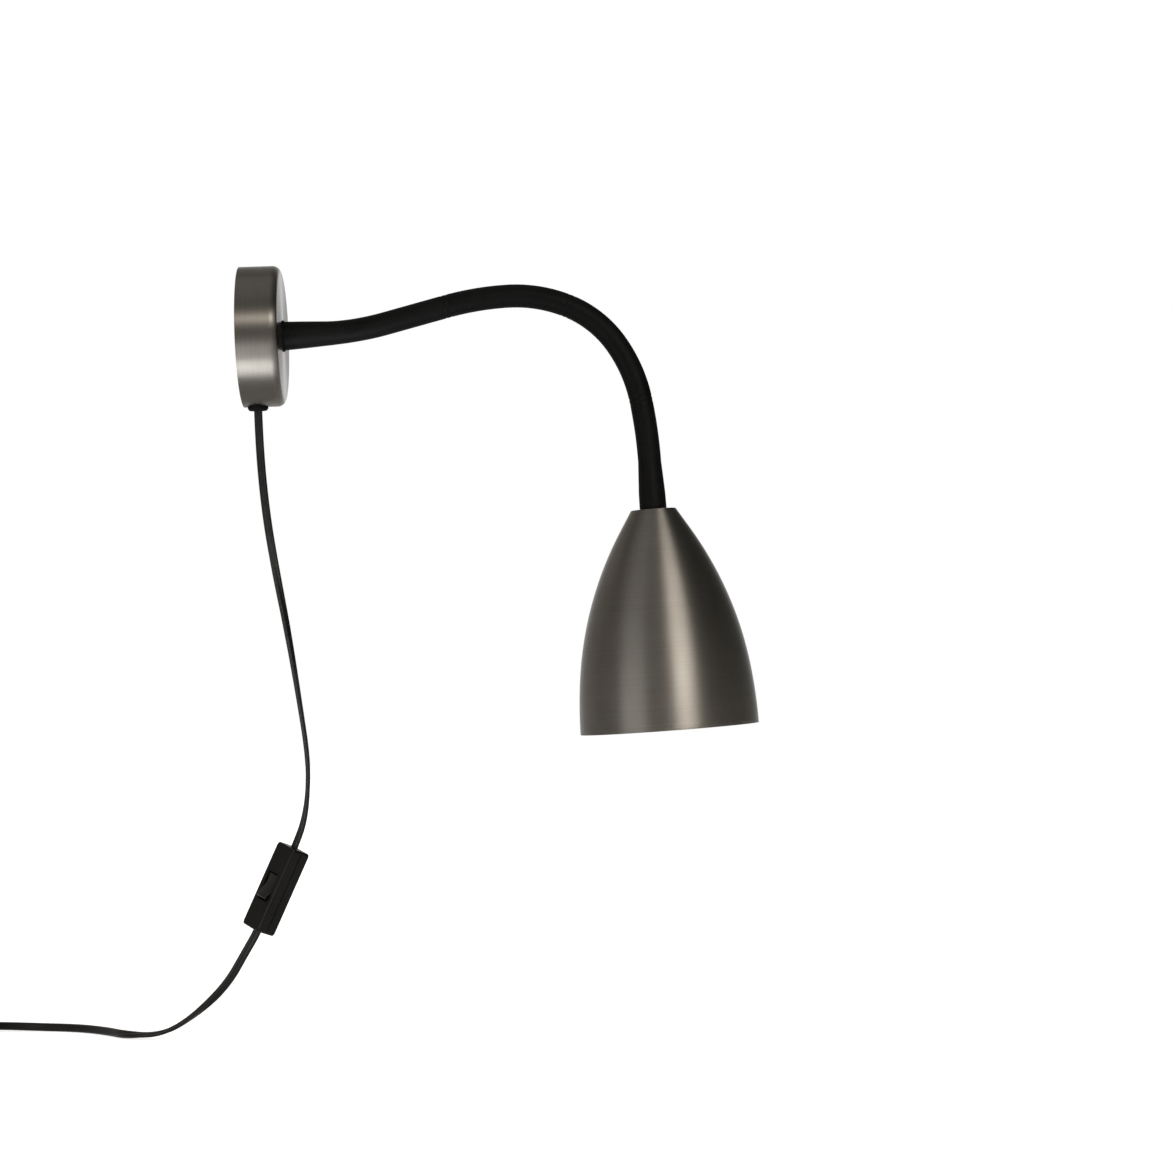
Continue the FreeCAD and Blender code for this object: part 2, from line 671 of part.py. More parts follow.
def cord_bushing():
    """Snap-in bushing: tapered flange that fits the round rim, neck in the sheet, barbs above it."""
    low = -canopy_radius - dim["bushing_flange"]
    above = dim["canopy_wall"] - canopy_radius
    top = above + dim["bushing_inside"]
    groove = dim["bushing_groove_radius"]
    flange = revolve("bushing_flange_turned", [
        (cord_hole_radius, low), (dim["bushing_low_radius"] - 0.6, low),
        (dim["bushing_low_radius"], low + 0.6, 0.6, 1), (dim["bushing_radius"], above),
        (cord_hole_radius, above),
    ])
    place(flange, dim["cord_outlet"], 0, 0)
    rim = cylinder("bushing_rim", canopy_radius, dim["canopy_depth"], along=(1, 0, 0))
    neck = revolve("bushing_neck", [
        (cord_hole_radius, low + 1.0), (groove, low + 1.0), (groove, above + 0.5),
        (groove + 0.7, above + 0.5), (groove, top), (cord_hole_radius, top),
    ])
    place(neck, dim["cord_outlet"], 0, 0)
    return node("cord_bushing", fuse("bushing", cut("bushing_seat", flange, rim), neck))


def cord_clamp():
    """Block screwed to the back plate that grips the cord inside the canopy."""
    depth, width, height = clamp_depth, dim["clamp_width"], dim["clamp_height"]
    clamp = block("clamp_block", depth, width, height, dim["plate_thickness"], -width / 2,
                  clamp_low)
    way = cylinder("clamp_way", cord_hole_radius, height, dim["cord_outlet"], 0, clamp_low)
    holes = []
    screws = []
    screw_tip = as_size(0.2)
    for side in (-1, 1):
        y = side * clamp_screw_y
        holes.append(cylinder("clamp_screw_hole", clamp_thread_radius + dim["fit_gap"], depth,
                              dim["plate_thickness"], y, clamp_middle, (1, 0, 0)))
        shank = cylinder("clamp_screw_shank", clamp_thread_radius,
                         dim["plate_thickness"] + depth - screw_tip, screw_tip, y, clamp_middle, (1, 0, 0))
        head = cylinder("clamp_screw_head", 2 * clamp_thread_radius, 1.6,
                        dim["plate_thickness"] + depth, y, clamp_middle, (1, 0, 0))
        screws.append(fuse("clamp_screw", shank, head))
    node("cord_clamp", cut("clamp_cut", clamp, way, *holes))
    node("clamp_screws", group("clamp_screw_set", screws))


def terminal_block():
    """Two-pole screw terminal on the back plate: moulding, brass sleeves and their screws."""
    body = doc.addObject("PartDesign::Body", "block_body")
    base = sketch_on(body, "block_base", "YZ_Plane", offset=dim["plate_thickness"])
    half_width = dim["block_width"] / 2
    outline(base, [
        (-half_width, block_low), (half_width, block_low),
        (half_width, block_top), (-half_width, block_top),
    ])
    pad(body, "block_pad", base, dim["block_depth"])
    ways = sketch_on(body, "block_ways", "XY_Plane", offset=block_low)
    sleeve_radius = as_size(2.3)
    screw_radius = as_size(1.3)
    for side in (-1, 1):
        circle(ways, sleeve_radius + dim["fit_gap"], dim["cord_outlet"], side * dim["block_pitch"] / 2)
    pocket(body, "block_ways_cut", ways, dim["block_length"], reverse=True)
    heads = sketch_on(body, "block_heads", "YZ_Plane",
                      offset=dim["plate_thickness"] + dim["block_depth"])
    rows = (block_low + dim["block_length"] / 4, block_top - dim["block_length"] / 4)
    for side in (-1, 1):
        for row in rows:
            circle(heads, screw_radius + 2 * dim["fit_gap"], side * dim["block_pitch"] / 2, row)
    pocket(body, "block_heads_cut", heads,
           dim["plate_thickness"] + dim["block_depth"] - dim["cord_outlet"])
    node("terminal_block", body)
    sleeves, screws = [], []
    for side in (-1, 1):
        y = side * dim["block_pitch"] / 2
        tube = cylinder("sleeve_tube", sleeve_radius, dim["block_length"] - 2, dim["cord_outlet"], y,
                        block_low + 1)
        bore = cylinder("sleeve_bore", sleeve_radius - 0.8, dim["block_length"] - 2, dim["cord_outlet"], y,
                        block_low + 1)
        taps = [cylinder("sleeve_tap", screw_radius + dim["fit_gap"], dim["block_depth"],
                         dim["cord_outlet"], y, row, (1, 0, 0)) for row in rows]
        sleeves.append(cut("sleeve_drilled", tube, bore, *taps))
        for row in rows:
            screws.append(cylinder("terminal_screw", screw_radius, 4.0, dim["cord_outlet"] + 0.5, y, row,
                                   (1, 0, 0)))
    node("terminal_sleeves", group("terminal_sleeve_set", sleeves))
    node("terminal_screws", group("terminal_screw_set", screws))


def round_path(points):
    """Straight runs joined by tangent arcs, each as large as its two runs allow; prints the radii."""
    points = [Vec(*point) for point in points]
    edges, radii = [], []
    last = points[0]
    for before, corner, after in zip(points, points[1:], points[2:]):
        way_in, way_out = corner - before, after - corner
        shorter = min(way_in.Length, way_out.Length)
        half_turn = way_in.getAngle(way_out) / 2
        way_in.normalize()
        way_out.normalize()
        setback = 0.45 * shorter
        radius = setback / math.tan(half_turn)
        start, end = corner - way_in * setback, corner + way_out * setback
        inward = (way_out - way_in).normalize()
        middle = corner + inward * (radius / math.cos(half_turn) - radius)
        edges.append(Part.LineSegment(last, start).toShape())
        edges.append(Part.Arc(start, middle, end).toShape())
        radii.append(radius)
        last = end
    edges.append(Part.LineSegment(last, points[-1]).toShape())
    return Part.Wire(edges), radii


def tube_along(name, wire, radius, radii=()):
    """A round tube swept along a wire of tangent runs and arcs; prints how its volume compares."""
    start = wire.Edges[0]
    way = start.tangentAt(start.FirstParameter)
    profile = Part.Wire(Part.makeCircle(radius, start.valueAt(start.FirstParameter), way))
    tube = wire.makePipeShell([profile], True, False)
    expected = math.pi * radius ** 2 * wire.Length
    rounded = ", ".join(f"{r:.0f}" for r in radii)
    print(f"{name}: length {wire.Length:.1f}, volume ratio {tube.Volume / expected:.4f}, radii {rounded}")
    return tube


def canopy_leads():
    """The mains lead from the bushing to the block, and the arm's lead from the block to the arm."""
    cord = dim["cord_width"] / 2
    outlet_z = -canopy_radius - dim["bushing_flange"]
    node("supply_lead", cylinder("supply", cord, block_low - outlet_z, dim["cord_outlet"], 0,
                                 outlet_z))
    x = float(dim["cord_outlet"])
    arm_x = float(cup_front_inside - dim["nipple_inside"] + dim["nipple_bore"] * 2)
    corner = Vec(x, 0, 0)
    path = [(x, 0, float(block_top)), tuple(corner), (arm_x, 0, 0)]
    wire, radii = round_path(path)
    node("arm_lead", solid("arm_lead_solid", tube_along("arm_lead", wire, 2.2, radii)))


# ---------------------------------------------------------------- shade and lampholder, in the head's frame
# The head's own frame has its origin at the top of the shade and its -Z down the shade's axis.

head_frame = FreeCAD.Placement(arm_end.point, FreeCAD.Rotation(Y_AXIS, arm_end.angle - 90.0))
wall = dim["shade_wall"]
washer_low = -wall - dim["washer_thickness"]
nut_low = washer_low - dim["nut_thickness"]
cap_low = nut_low - dim["holder_cap_height"]
body_low = cap_low - dim["holder_body_height"]
head_thread_low = nut_low - 7.0
lamp_top = cap_low - 10.0
lamp_cap_low = lamp_top - dim["lamp_cap_height"]


def shade():
    """Spun shade: flat top, plain shoulder cone, one bulging arc and a nearly straight skirt."""
    top, rim, height = dim["shade_top_radius"], dim["shade_rim_radius"], dim["shade_height"]
    shoulder, skirt = dim["shade_shoulder"], dim["shade_skirt_start"]
    shoulder_radius = top + (rim - top) * dim["shade_shoulder_part"]
    skirt_radius = rim - (rim - top) * dim["shade_skirt_part"]
    # each arc starts tangent to what lies above it, so its own radius follows from its end point
    lean = math.atan2(float(shoulder_radius - top), float(shoulder))
    across, down = float(skirt_radius - shoulder_radius), float(skirt - shoulder)
    turn = lean - math.atan2(across, down)
    bulge = math.hypot(across, down) / 2 / math.sin(turn)
    skirt_lean = lean - 2 * turn
    across, down = float(rim - skirt_radius), float(height - skirt)
    skirt_arc_radius = math.hypot(across, down) / 2 / math.sin(skirt_lean - math.atan2(across, down))
    body = doc.addObject("PartDesign::Body", "shade_body")
    sketch = sketch_on(body, "shade_profile")
    points = [Vec(0, 0, 0), Vec(float(top), 0, 0), Vec(float(shoulder_radius), -float(shoulder), 0),
              Vec(float(skirt_radius), -float(skirt), 0), Vec(float(rim), -float(height), 0),
              Vec(0, -float(height), 0)]
    bulge_arc = arc_between(points[2], points[3], bulge, -1)
    skirt_arc = arc_between(points[3], points[4], skirt_arc_radius, -1)
    edges = [Part.LineSegment(points[0], points[1]), Part.LineSegment(points[1], points[2]), bulge_arc,
             skirt_arc, Part.LineSegment(points[4], points[5]), Part.LineSegment(points[5], points[0])]
    rows = [sketch.addGeometry(edge, False) for edge in edges]
    ends = []
    for row, start in zip(rows, points):
        swapped = (sketch.getPoint(row, 1) - start).Length > 1e-6
        ends.append((2, 1) if swapped else (1, 2))
    for row, after in zip(rows, rows[1:] + rows[:1]):
        kind = "Tangent" if row in (rows[1], rows[2]) else "Coincident"
        sketch.addConstraint(Sketcher.Constraint(kind, row, ends[row][1], after, ends[after][0]))
    fix_point(sketch, rows[0], ends[0][0], 0, 0)
    fix_point(sketch, rows[0], ends[0][1], top, 0)
    fix_point(sketch, rows[1], ends[1][1], shoulder_radius, -shoulder)
    fix_point(sketch, rows[2], ends[2][1], skirt_radius, -skirt)
    fix_point(sketch, rows[3], ends[3][1], rim, -height)
    fix_point(sketch, rows[4], ends[4][1], 0, -height)
    turned = body.newObject("PartDesign::Revolution", "shade_turned")
    turned.Profile = sketch
    turned.ReferenceAxis = (sketch, ["V_Axis"])
    bind(turned, "Angle", 360)
    doc.recompute()
    open_end = next(f"Face{row}" for row, face in enumerate(turned.Shape.Faces, start=1)
                    if abs(face.CenterOfMass.z + float(height)) < 1e-3)
    shell = body.newObject("PartDesign::Thickness", "shade_shell")
    shell.Base = (turned, [open_end])
    bind(shell, "Value", wall)
    shell.Reversed = True
    shell.Join = "Intersection"
    hole = sketch_on(body, "shade_hole", "XY_Plane")
    circle(hole, arm_hole_radius)
    pocket(body, "shade_hole_cut", hole, 2 * wall)
    return node("shade", body, head_frame)


def neck_sleeve():
    """The arm's end: a socket round the last link's ball, flaring to the shade."""
    length, sleeve, neck = dim["neck_length"], dim["sleeve_radius"], dim["neck_radius"]
    body = revolve("neck_body", [
        (dim["core_radius"], 0), (neck, 0), (neck - 0.2, dim["neck_taper_end"]), (sleeve, length),
        (dim["wire_bore"], length), (dim["wire_bore"], dim["ferrule_length"]),
        (dim["core_radius"], dim["ferrule_length"]),
    ])
    socket = ball("neck_socket", sleeve + dim["socket_gap"], z=length)
    return node("neck_sleeve", cut("neck_cut", body, socket), head_frame)


def head_fittings():
    """Ferrule on the arm's end, and the washer and nut that clamp the shade to it."""
    node("head_ferrule", revolve("ferrule_head", [
        (dim["nipple_bore"], head_thread_low), (dim["nipple_radius"], head_thread_low),
        (dim["nipple_radius"], 0), (dim["core_radius"], 0),
        (dim["core_radius"], dim["ferrule_length"]), (dim["nipple_bore"], dim["ferrule_length"]),
    ]), head_frame)
    disc = cylinder("shade_washer_disc", dim["shade_washer_radius"], dim["washer_thickness"], z=washer_low)
    hole = cylinder("shade_washer_hole", arm_hole_radius, dim["washer_thickness"], z=washer_low)
    node("shade_washer", cut("washer_head", disc, hole), head_frame)
    nut = hexagon("head_nut_body", dim["nut_flats"], dim["nut_thickness"], z=nut_low)
    nut_hole = cylinder("head_nut_hole", arm_hole_radius, dim["nut_thickness"], z=nut_low)
    node("head_nut", cut("nut_head", nut, nut_hole), head_frame)


def lampholder():
    """Two-piece moulded holder: domed cap on the thread, body screwed into it, insert, shell, contacts."""
    neck, outer, mould = dim["holder_neck_radius"], dim["holder_radius"], dim["holder_wall"]
    cap_outer = outer - 0.6
    neck_low = nut_low - 7.0
    dome_low = neck_low - 5.0
    collar = cap_outer - mould
    node("holder_cap", revolve("cap", [
        (arm_hole_radius, nut_low), (neck, nut_low), (neck, neck_low),
        (cap_outer, dome_low, 6.5, -1), (cap_outer, cap_low), (collar, cap_low),
        (collar, dome_low - mould / 2), (neck - mould, neck_low - mould, 6.5, 1),
        (arm_hole_radius, neck_low - mould / 2),
    ]), head_frame)
    inner = outer - mould
    spigot = collar - dim["fit_gap"]
    spigot_top = cap_low + 4.0
    node("holder_body", revolve("holder", [
        (spigot - mould, spigot_top), (spigot, spigot_top), (spigot, cap_low), (outer, cap_low),
        (outer, body_low + 1.0), (outer - 1.0, body_low, 1.0, -1), (inner, body_low),
        (inner, cap_low - mould), (spigot - mould, cap_low - mould),
    ]), head_frame)
    seat = spigot - mould - dim["fit_gap"]
    insert_top = cap_low + dim["insert_height"] - 5.0
    insert_low = insert_top - dim["insert_height"]
    shell_radius = dim["lamp_cap_radius"] + dim["fit_gap"] + dim["shell_wall"]
    disc = revolve("insert", [
        (0, insert_low), (seat, insert_low), (seat, insert_top), (0, insert_top)])
    wire_holes = [cylinder("insert_hole", 1.2, dim["insert_height"], x=side * 6.0, z=insert_low)
                  for side in (-1, 1)]
    node("holder_insert", cut("insert_drilled", disc, *wire_holes), head_frame)
    shell_low = insert_low - dim["lamp_cap_height"] - 1.0
    node("screw_shell", revolve("shell", [
        (shell_radius - dim["shell_wall"], shell_low), (shell_radius, shell_low),
        (shell_radius, insert_low), (shell_radius - dim["shell_wall"], insert_low),
    ]), head_frame)
    leaf = block("contact_leaf", 8.0, 3.0, 0.5, -4.0, -1.5, insert_low - 1.5)
    post = block("contact_post", 1.5, 3.0, 1.5, -4.0, -1.5, insert_low - 1.5)
    node("centre_contact", fuse("contact", leaf, post), head_frame)
    terminals, wires = [], []
    for side in (-1, 1):
        terminals.append(block("holder_terminal", 3.6, 5.0, 3.5, side * 6.0 - 1.8, -2.5, insert_top))
        wire, radii = round_path([
            (side * 1.6, 0, float(head_thread_low) + 2), (side * 1.6, 0, float(head_thread_low) - 1.0),
            (side * 6.0, 0, float(insert_top) + 5.0), (side * 6.0, 0, float(insert_top) + 3.5)])
        wires.append(solid("holder_wire", tube_along("holder_wire", wire, 1.0, radii)))
    node("holder_terminals", group("holder_terminal_set", terminals), head_frame)
    node("holder_wires", group("holder_wire_set", wires), head_frame)
    return float(insert_low), float(shell_low)


def bulb(top, low):
    """Small globe bulb in its screw cap."""
    radius, cap_height = dim["lamp_cap_radius"], dim["lamp_cap_height"]
    tip_gap = 1.6
    cap_top = as_size(top - tip_gap)
    cap_end = cap_top - cap_height
    node("bulb_cap", revolve("bulb_cap_body", [
        (0, cap_top), (2.4, cap_top), (radius - 2.0, cap_top - 3.0), (radius, cap_top - 5.0),
        (radius, cap_end), (0, cap_end),
    ]), head_frame)
    globe, neck, glass = dim["globe_radius"], dim["globe_neck_radius"], dim["globe_wall"]
    centre = cap_end - dim["globe_height"] + globe
    shoulder = cap_end - 6.0
    inner = globe - glass
    # the neck's cone meets the ball at eight tenths of its radius
    node("bulb_globe", revolve("globe", [
        (0, centre - globe), (globe, centre, globe, 1), (0.8 * globe, centre + 0.6 * globe, globe, 1),
        (neck, shoulder), (neck, cap_end), (neck - glass, cap_end), (neck - glass, shoulder),
        (0.8 * inner, centre + 0.6 * inner), (inner, centre, inner, -1), (0, centre - inner, inner, -1),
    ]), head_frame)


# ---------------------------------------------------------------- in-line switch, in its own frame
# The switch's frame has +X along the cord towards the lamp and +Z out of the rocker's face.

def switch_placement():
    lean = math.radians(float(dim["switch_lean"]))
    along = Vec(math.sin(lean), 0, math.cos(lean))
    towards_wall = Vec(-math.cos(lean), 0, math.sin(lean))
    face = (towards_wall - Y_AXIS).normalize()
    return FreeCAD.Placement(SWITCH_CENTRE, FreeCAD.Rotation(along, face.cross(along), face, "ZXY"))


switch_frame = switch_placement()
half_height = dim["switch_height"] / 2
pivot_z = half_height - dim["rocker_pivot_depth"]
opening_width = dim["rocker_width"] + 2 * dim["rocker_side_gap"]
switch_screws_at = ((1, 1), (-1, -1))
switch_screw_x = dim["switch_length"] / 2 - 8.0
switch_screw_y = dim["switch_width"] / 2 - dim["switch_wall"] - 2.6


def switch_half(name, upwards):
    """One moulded half: a rounded tray with a wall all round and a half-round cord notch at each end."""
    body = doc.addObject("PartDesign::Body", name)
    base = sketch_on(body, name + "_plan", "XY_Plane")
    rounded_box(base, dim["switch_length"], dim["switch_width"], dim["switch_corner_radius"])
    pad(body, name + "_pad", base, half_height, reverse=not upwards)
    face = float(half_height) * (1 if upwards else -1)
    round_edges(body, name + "_round", dim["switch_edge_radius"],
                lambda edge: abs(edge.BoundBox.ZMin - face) < 1e-4 and abs(edge.BoundBox.ZMax - face) < 1e-4)
    tray = sketch_on(body, name + "_tray", "XY_Plane")
    rounded_box(tray, dim["switch_length"] - 2 * dim["switch_wall"],
                dim["switch_width"] - 2 * dim["switch_wall"], 1.0)
    pocket(body, name + "_tray_cut", tray, half_height - dim["switch_wall"], reverse=upwards)
    notch = sketch_on(body, name + "_notch", "YZ_Plane")
    circle(notch, cord_hole_radius)
    pocket(body, name + "_notch_cut", notch, dim["switch_length"] + 2, midplane=True)
    return body


def switch_lid():
    """The half with the rocker's opening, its two bearing ears and the screw posts."""
    shell = switch_half("lid", True)
    opening = block("lid_opening", dim["rocker_length"], opening_width, half_height,
                    -dim["rocker_length"] / 2, -opening_width / 2, pivot_z - 4.0)
    ears = []
    posts = []
    ear_thickness = as_size(1.6)
    for side in (-1, 1):
        inner = side * (opening_width / 2 + ear_thickness / 2)
        ears.append(block("lid_ear", 6.0, ear_thickness, half_height - dim["switch_wall"] / 2 - pivot_z + 2.4,
                          -3.0, inner - ear_thickness / 2, pivot_z - 2.4))
    for x_side, y_side in switch_screws_at:
        posts.append(cylinder("lid_post", 2.4, half_height - dim["switch_wall"] / 2,
                              x_side * switch_screw_x, y_side * switch_screw_y, 0))
    body = fuse("lid_whole", shell, *ears, *posts)
    bearing = cylinder("lid_bearing", dim["pivot_radius"] + dim["pivot_gap"], opening_width + 3 * ear_thickness,
                       0, opening_width / 2 + 1.5 * ear_thickness, pivot_z, (0, -1, 0))
    taps = [cylinder("lid_tap", 1.1, half_height - dim["switch_wall"], x_side * switch_screw_x,
                     y_side * switch_screw_y, 0) for x_side, y_side in switch_screws_at]
    return node("switch_lid", cut("lid_cut", body, opening, bearing, *taps), switch_frame)


def switch_base():
    """The plain half, with posts for the screws that come up from below."""
    shell = switch_half("base", False)
    posts, holes = [], []
    for x_side, y_side in switch_screws_at:
        x, y = x_side * switch_screw_x, y_side * switch_screw_y
        posts.append(cylinder("base_post", 2.4, half_height - dim["switch_wall"] / 2, x, y,
                              dim["switch_wall"] / 2 - half_height))
        holes.append(cylinder("base_hole", 1.2, dim["switch_height"], x, y, -dim["switch_height"]))
        holes.append(cylinder("base_sink", 2.2, 2.5, x, y, -half_height - 0.5))
    return node("switch_base", cut("base_cut", fuse("base_whole", shell, *posts), *holes), switch_frame)


def switch_insides():
    """Screws that join the halves, and the two brass contacts under the rocker."""
    screws = []
    for x_side, y_side in switch_screws_at:
        x, y = x_side * switch_screw_x, y_side * switch_screw_y
        head = cylinder("switch_screw_head", 2.0, 1.5, x, y, 0.5 - half_height)
        shank = cylinder("switch_screw_shank", 1.0, half_height + 3.5, x, y, 0.6 - half_height)
        screws.append(fuse("switch_screw", head, shank))
    node("switch_screws", group("switch_screw_set", screws), switch_frame)
    floor = dim["switch_wall"] - half_height
    contacts = []
    for side in (-1, 1):
        terminal = block("contact_block", 6.0, 5.0, 4.0, side * 15.0 - 3.0, -2.5, floor)
        strip = block("contact_strip", 12.0, 3.0, 0.6, side * 8.0 - 6.0, -1.5, floor)
        contacts.append(fuse("switch_contact", terminal, strip))
    node("switch_contacts", group("switch_contact_set", contacts), switch_frame)


def rocker():
    """Rocker with a shallow V on top and round ends about its pivot, shown pressed at its lamp end."""
    tilt = dim["rocker_tilt"]
    reach = dim["rocker_length"] / 2 - 0.3
    # in the rocker's own level frame, measured from the pivot
    corner_angle = 27.4
    corner_x = reach * math.cos(math.radians(corner_angle))
    corner_z = reach * math.sin(math.radians(corner_angle))
    dip = corner_z - corner_x * sine(tilt) / cosine(tilt)
    foot_angle = 24.0
    foot_x = reach * math.cos(math.radians(foot_angle))
    foot_z = -reach * math.sin(math.radians(foot_angle))
    body = doc.addObject("PartDesign::Body", "rocker_body")
    sketch = sketch_on(body, "rocker_profile")
    outline(sketch, [
        (corner_x, corner_z, reach, 1), (0, dip), (-corner_x, corner_z), (-foot_x, foot_z, reach, 1),
        (-3.0, foot_z), (-1.2, foot_z - 1.8), (1.2, foot_z - 1.8), (3.0, foot_z), (foot_x, foot_z),
    ])
    pad(body, "rocker_pad", sketch, dim["rocker_width"], midplane=True)
    axle = sketch_on(body, "rocker_axle", "XZ_Plane")
    circle(axle, dim["pivot_radius"])
    pad(body, "rocker_axle_pad", axle, opening_width + 2.6, midplane=True)
    tilted = FreeCAD.Placement(Vec(0, 0, float(pivot_z)), FreeCAD.Rotation(Y_AXIS, float(tilt)))
    return node("rocker", body, switch_frame.multiply(tilted))


# ---------------------------------------------------------------- cord, coil and plug

cord_radius = float(dim["cord_width"]) / 2
coil_lift = float(dim["tie_sheet"] + dim["tie_gap"] / 2) + cord_radius


def switch_entry(side):
    """Two points on the switch's axis: 4 mm outside its end and inside its wall; side +1 is the lamp's."""
    half = float(dim["switch_length"]) / 2
    inside = half - 2 * float(dim["switch_wall"])
    return [tuple(switch_frame.multVec(Vec(side * reach, 0, 0))) for reach in (half + 4.0, inside)]


def cord_stretch(name, route):
    wire, radii = round_path(route)
    return node(name, solid(name + "_solid", tube_along(name, wire, cord_radius, radii)))


def half_turn(start, way, radius, climb=0.0):
    """A half turn to the left of the way; a climbing one is two tilted quarter arcs."""
    left = Z_AXIS.cross(way)
    end = start + left * (2 * radius) + Z_AXIS * climb
    chord = end - start
    reach = chord.Length / 2
    middle = (start + end) / 2 + way * reach
    if climb == 0:
        return [Part.Arc(start, middle, end).toShape()], end
    side = 1 - math.sqrt(0.5)
    rise = chord / chord.Length
    quarters = []
    corner = start + way * reach
    quarters.append(Part.Arc(start, corner - way * reach * side + rise * reach * side, middle).toShape())
    corner = end + way * reach
    quarters.append(Part.Arc(middle, corner - way * reach * side - rise * reach * side, end).toShape())
    return quarters, end


def least_gap(points, spacing, diameter):
    """The least gap between parts of a wound tube that are more than two diameters apart along it."""
    skip = int(3 * diameter / spacing)
    least = min((points[i] - points[j]).Length
                for i in range(0, len(points), 2) for j in range(i + skip, len(points)))
    return least - diameter


def cord_coil():
    """The put-away lead: three turns in, a climbing half turn, and three turns out on top of them."""
    step = float(dim["coil_pitch"]) / 2
    layer = float(dim["coil_pitch"])
    radius = float(dim["coil_radius"])
    turns_in = 6
    place_z = FLOOR_Z + coil_lift
    point = Vec(COIL_CENTRE.x, COIL_CENTRE.y + radius, place_z)
    way = Vec(-1, 0, 0)
    edges = [Part.makeLine(point - way * 2 * cord_radius, point)]
    for _ in range(turns_in):
        arcs, point = half_turn(point, way, radius)
        edges += arcs
        way = way * -1
        radius -= step
    arcs, point = half_turn(point, way, radius, layer)
    edges += arcs
    way = way * -1
    for _ in range(turns_in - 1):
        radius += step
        arcs, point = half_turn(point, way, radius)
        edges += arcs
        way = way * -1
    radius += step
    centre = point + Z_AXIS.cross(way) * radius
    last = centre + way * radius
    diagonal = centre + (way - Z_AXIS.cross(way)) * (radius * math.sqrt(0.5))
    edges.append(Part.Arc(point, diagonal, last).toShape())
    out_way = Z_AXIS.cross(way)
    end = last + out_way * 2 * cord_radius
    edges.append(Part.makeLine(last, end))
    wire = Part.Wire(edges)
    spacing = 1.5
    points = [point for edge in wire.Edges for point in edge.discretize(max(int(edge.Length / spacing), 2))[:-1]]
    print(f"coil: least gap to itself {least_gap(points, spacing, 2 * cord_radius):.2f}")
    node("cord_coil", solid("coil_solid", tube_along("cord_coil", wire, cord_radius)))
    return end, out_way


def coil_tie():
    """Strap round the coil's turns on the side towards the lamp."""
    gap, sheet, width = float(dim["tie_gap"]), float(dim["tie_sheet"]), float(dim["tie_width"])
    step = float(dim["coil_pitch"]) / 2
    outer = float(dim["coil_radius"]) - step + cord_radius + gap / 2
    # the innermost turn curves away within the strap's width
    smallest = float(dim["coil_radius"]) - 5 * step
    inner = math.sqrt(smallest ** 2 - (step + width / 2) ** 2) - cord_radius - gap / 2
    low = FLOOR_Z + sheet
    high = low + gap / 2 + 2 * cord_radius + float(dim["coil_pitch"]) + gap / 2
    hole = Part.makeBox(outer - inner, width, high - low,
                        Vec(COIL_CENTRE.x + inner, COIL_CENTRE.y - width / 2, low))
    band = Part.makeBox(outer - inner + 2 * sheet, width, high - low + 2 * sheet,
                        Vec(COIL_CENTRE.x + inner - sheet, COIL_CENTRE.y - width / 2, low - sheet))
    across = [edge for edge in band.Edges if abs(edge.tangentAt(edge.FirstParameter).y) > 0.9]
    band = band.makeFillet(2.5, across)
    across = [edge for edge in hole.Edges if abs(edge.tangentAt(edge.FirstParameter).y) > 0.9]
    hole = hole.makeFillet(1.5, across)
    node("coil_tie", solid("tie", band.cut(hole)))


def plug(start, way):
    """Flat two-pin plug, lying on the floor, and the short stretch of cord that reaches it."""
    length = float(dim["tail_length"])
    plug_z = FLOOR_Z + float(dim["plug_thickness"]) / 2
    level = Vec(start.x, start.y, plug_z)
    route = [start, start + way * length * 0.3, level + way * length * 0.7, level + way * length]
    cord_stretch("cord_tail", [tuple(point) for point in route])
    frame = FreeCAD.Placement(level + way * length,
                              FreeCAD.Rotation(way, Z_AXIS.cross(way), Z_AXIS, "ZXY"))
    body = doc.addObject("PartDesign::Body", "plug_moulding")
    sections = [(0.0, 9.0, 8.0, 2.5), (0.38, 13.0, 10.0, 3.0), (0.72, None, None, 4.0), (1.0, None, None, 4.0)]
    sketches = []
    for row, (share, width, thickness, corner) in enumerate(sections):
        sketch = sketch_on(body, f"plug_section_{row}", "YZ_Plane", offset=share * dim["plug_length"])
        rounded_box(sketch, width or dim["plug_width"], thickness or dim["plug_thickness"], corner)
        sketches.append(sketch)
    loft = body.newObject("PartDesign::AdditiveLoft", "plug_loft")
    loft.Profile = sketches[0]
    loft.Sections = sketches[1:]
    loft.Ruled = False
    node("plug_body", body, frame)
    pins = []
    for side in (-1, 1):
        radius, reach = dim["plug_pin_radius"], dim["plug_pin_length"]
        pin = revolve(f"pin_{side + 1}", [
            (0, 0), (0, radius), (reach - 1.2, radius), (reach, radius - 1.2, 1.2, -1), (reach, 0),
        ], axis="H_Axis")
        place(pin, dim["plug_length"], side * dim["plug_pin_spacing"] / 2, 0)
        pins.append(pin)
    node("plug_pins", group("plug_pin_pair", pins), frame)


# ---------------------------------------------------------------- build, check, write

def check_and_write():
    """Stop on any failed object, then write each node's solid to its own file."""
    doc.recompute()
    for item in doc.Objects:
        if "Invalid" in item.State or "Error" in item.State:
            raise RuntimeError(f"{item.Name} ({item.Label}) failed: {item.State}")
    for item in NODES:
        if item.Shape.isNull() or not item.Shape.isValid() or item.Shape.Volume <= 0:
            raise RuntimeError(f"{item.Label} has no valid solid")
        item.Shape.exportStep(f"parts/{item.Label}.step")
    print(f"{len(NODES)} nodes written")


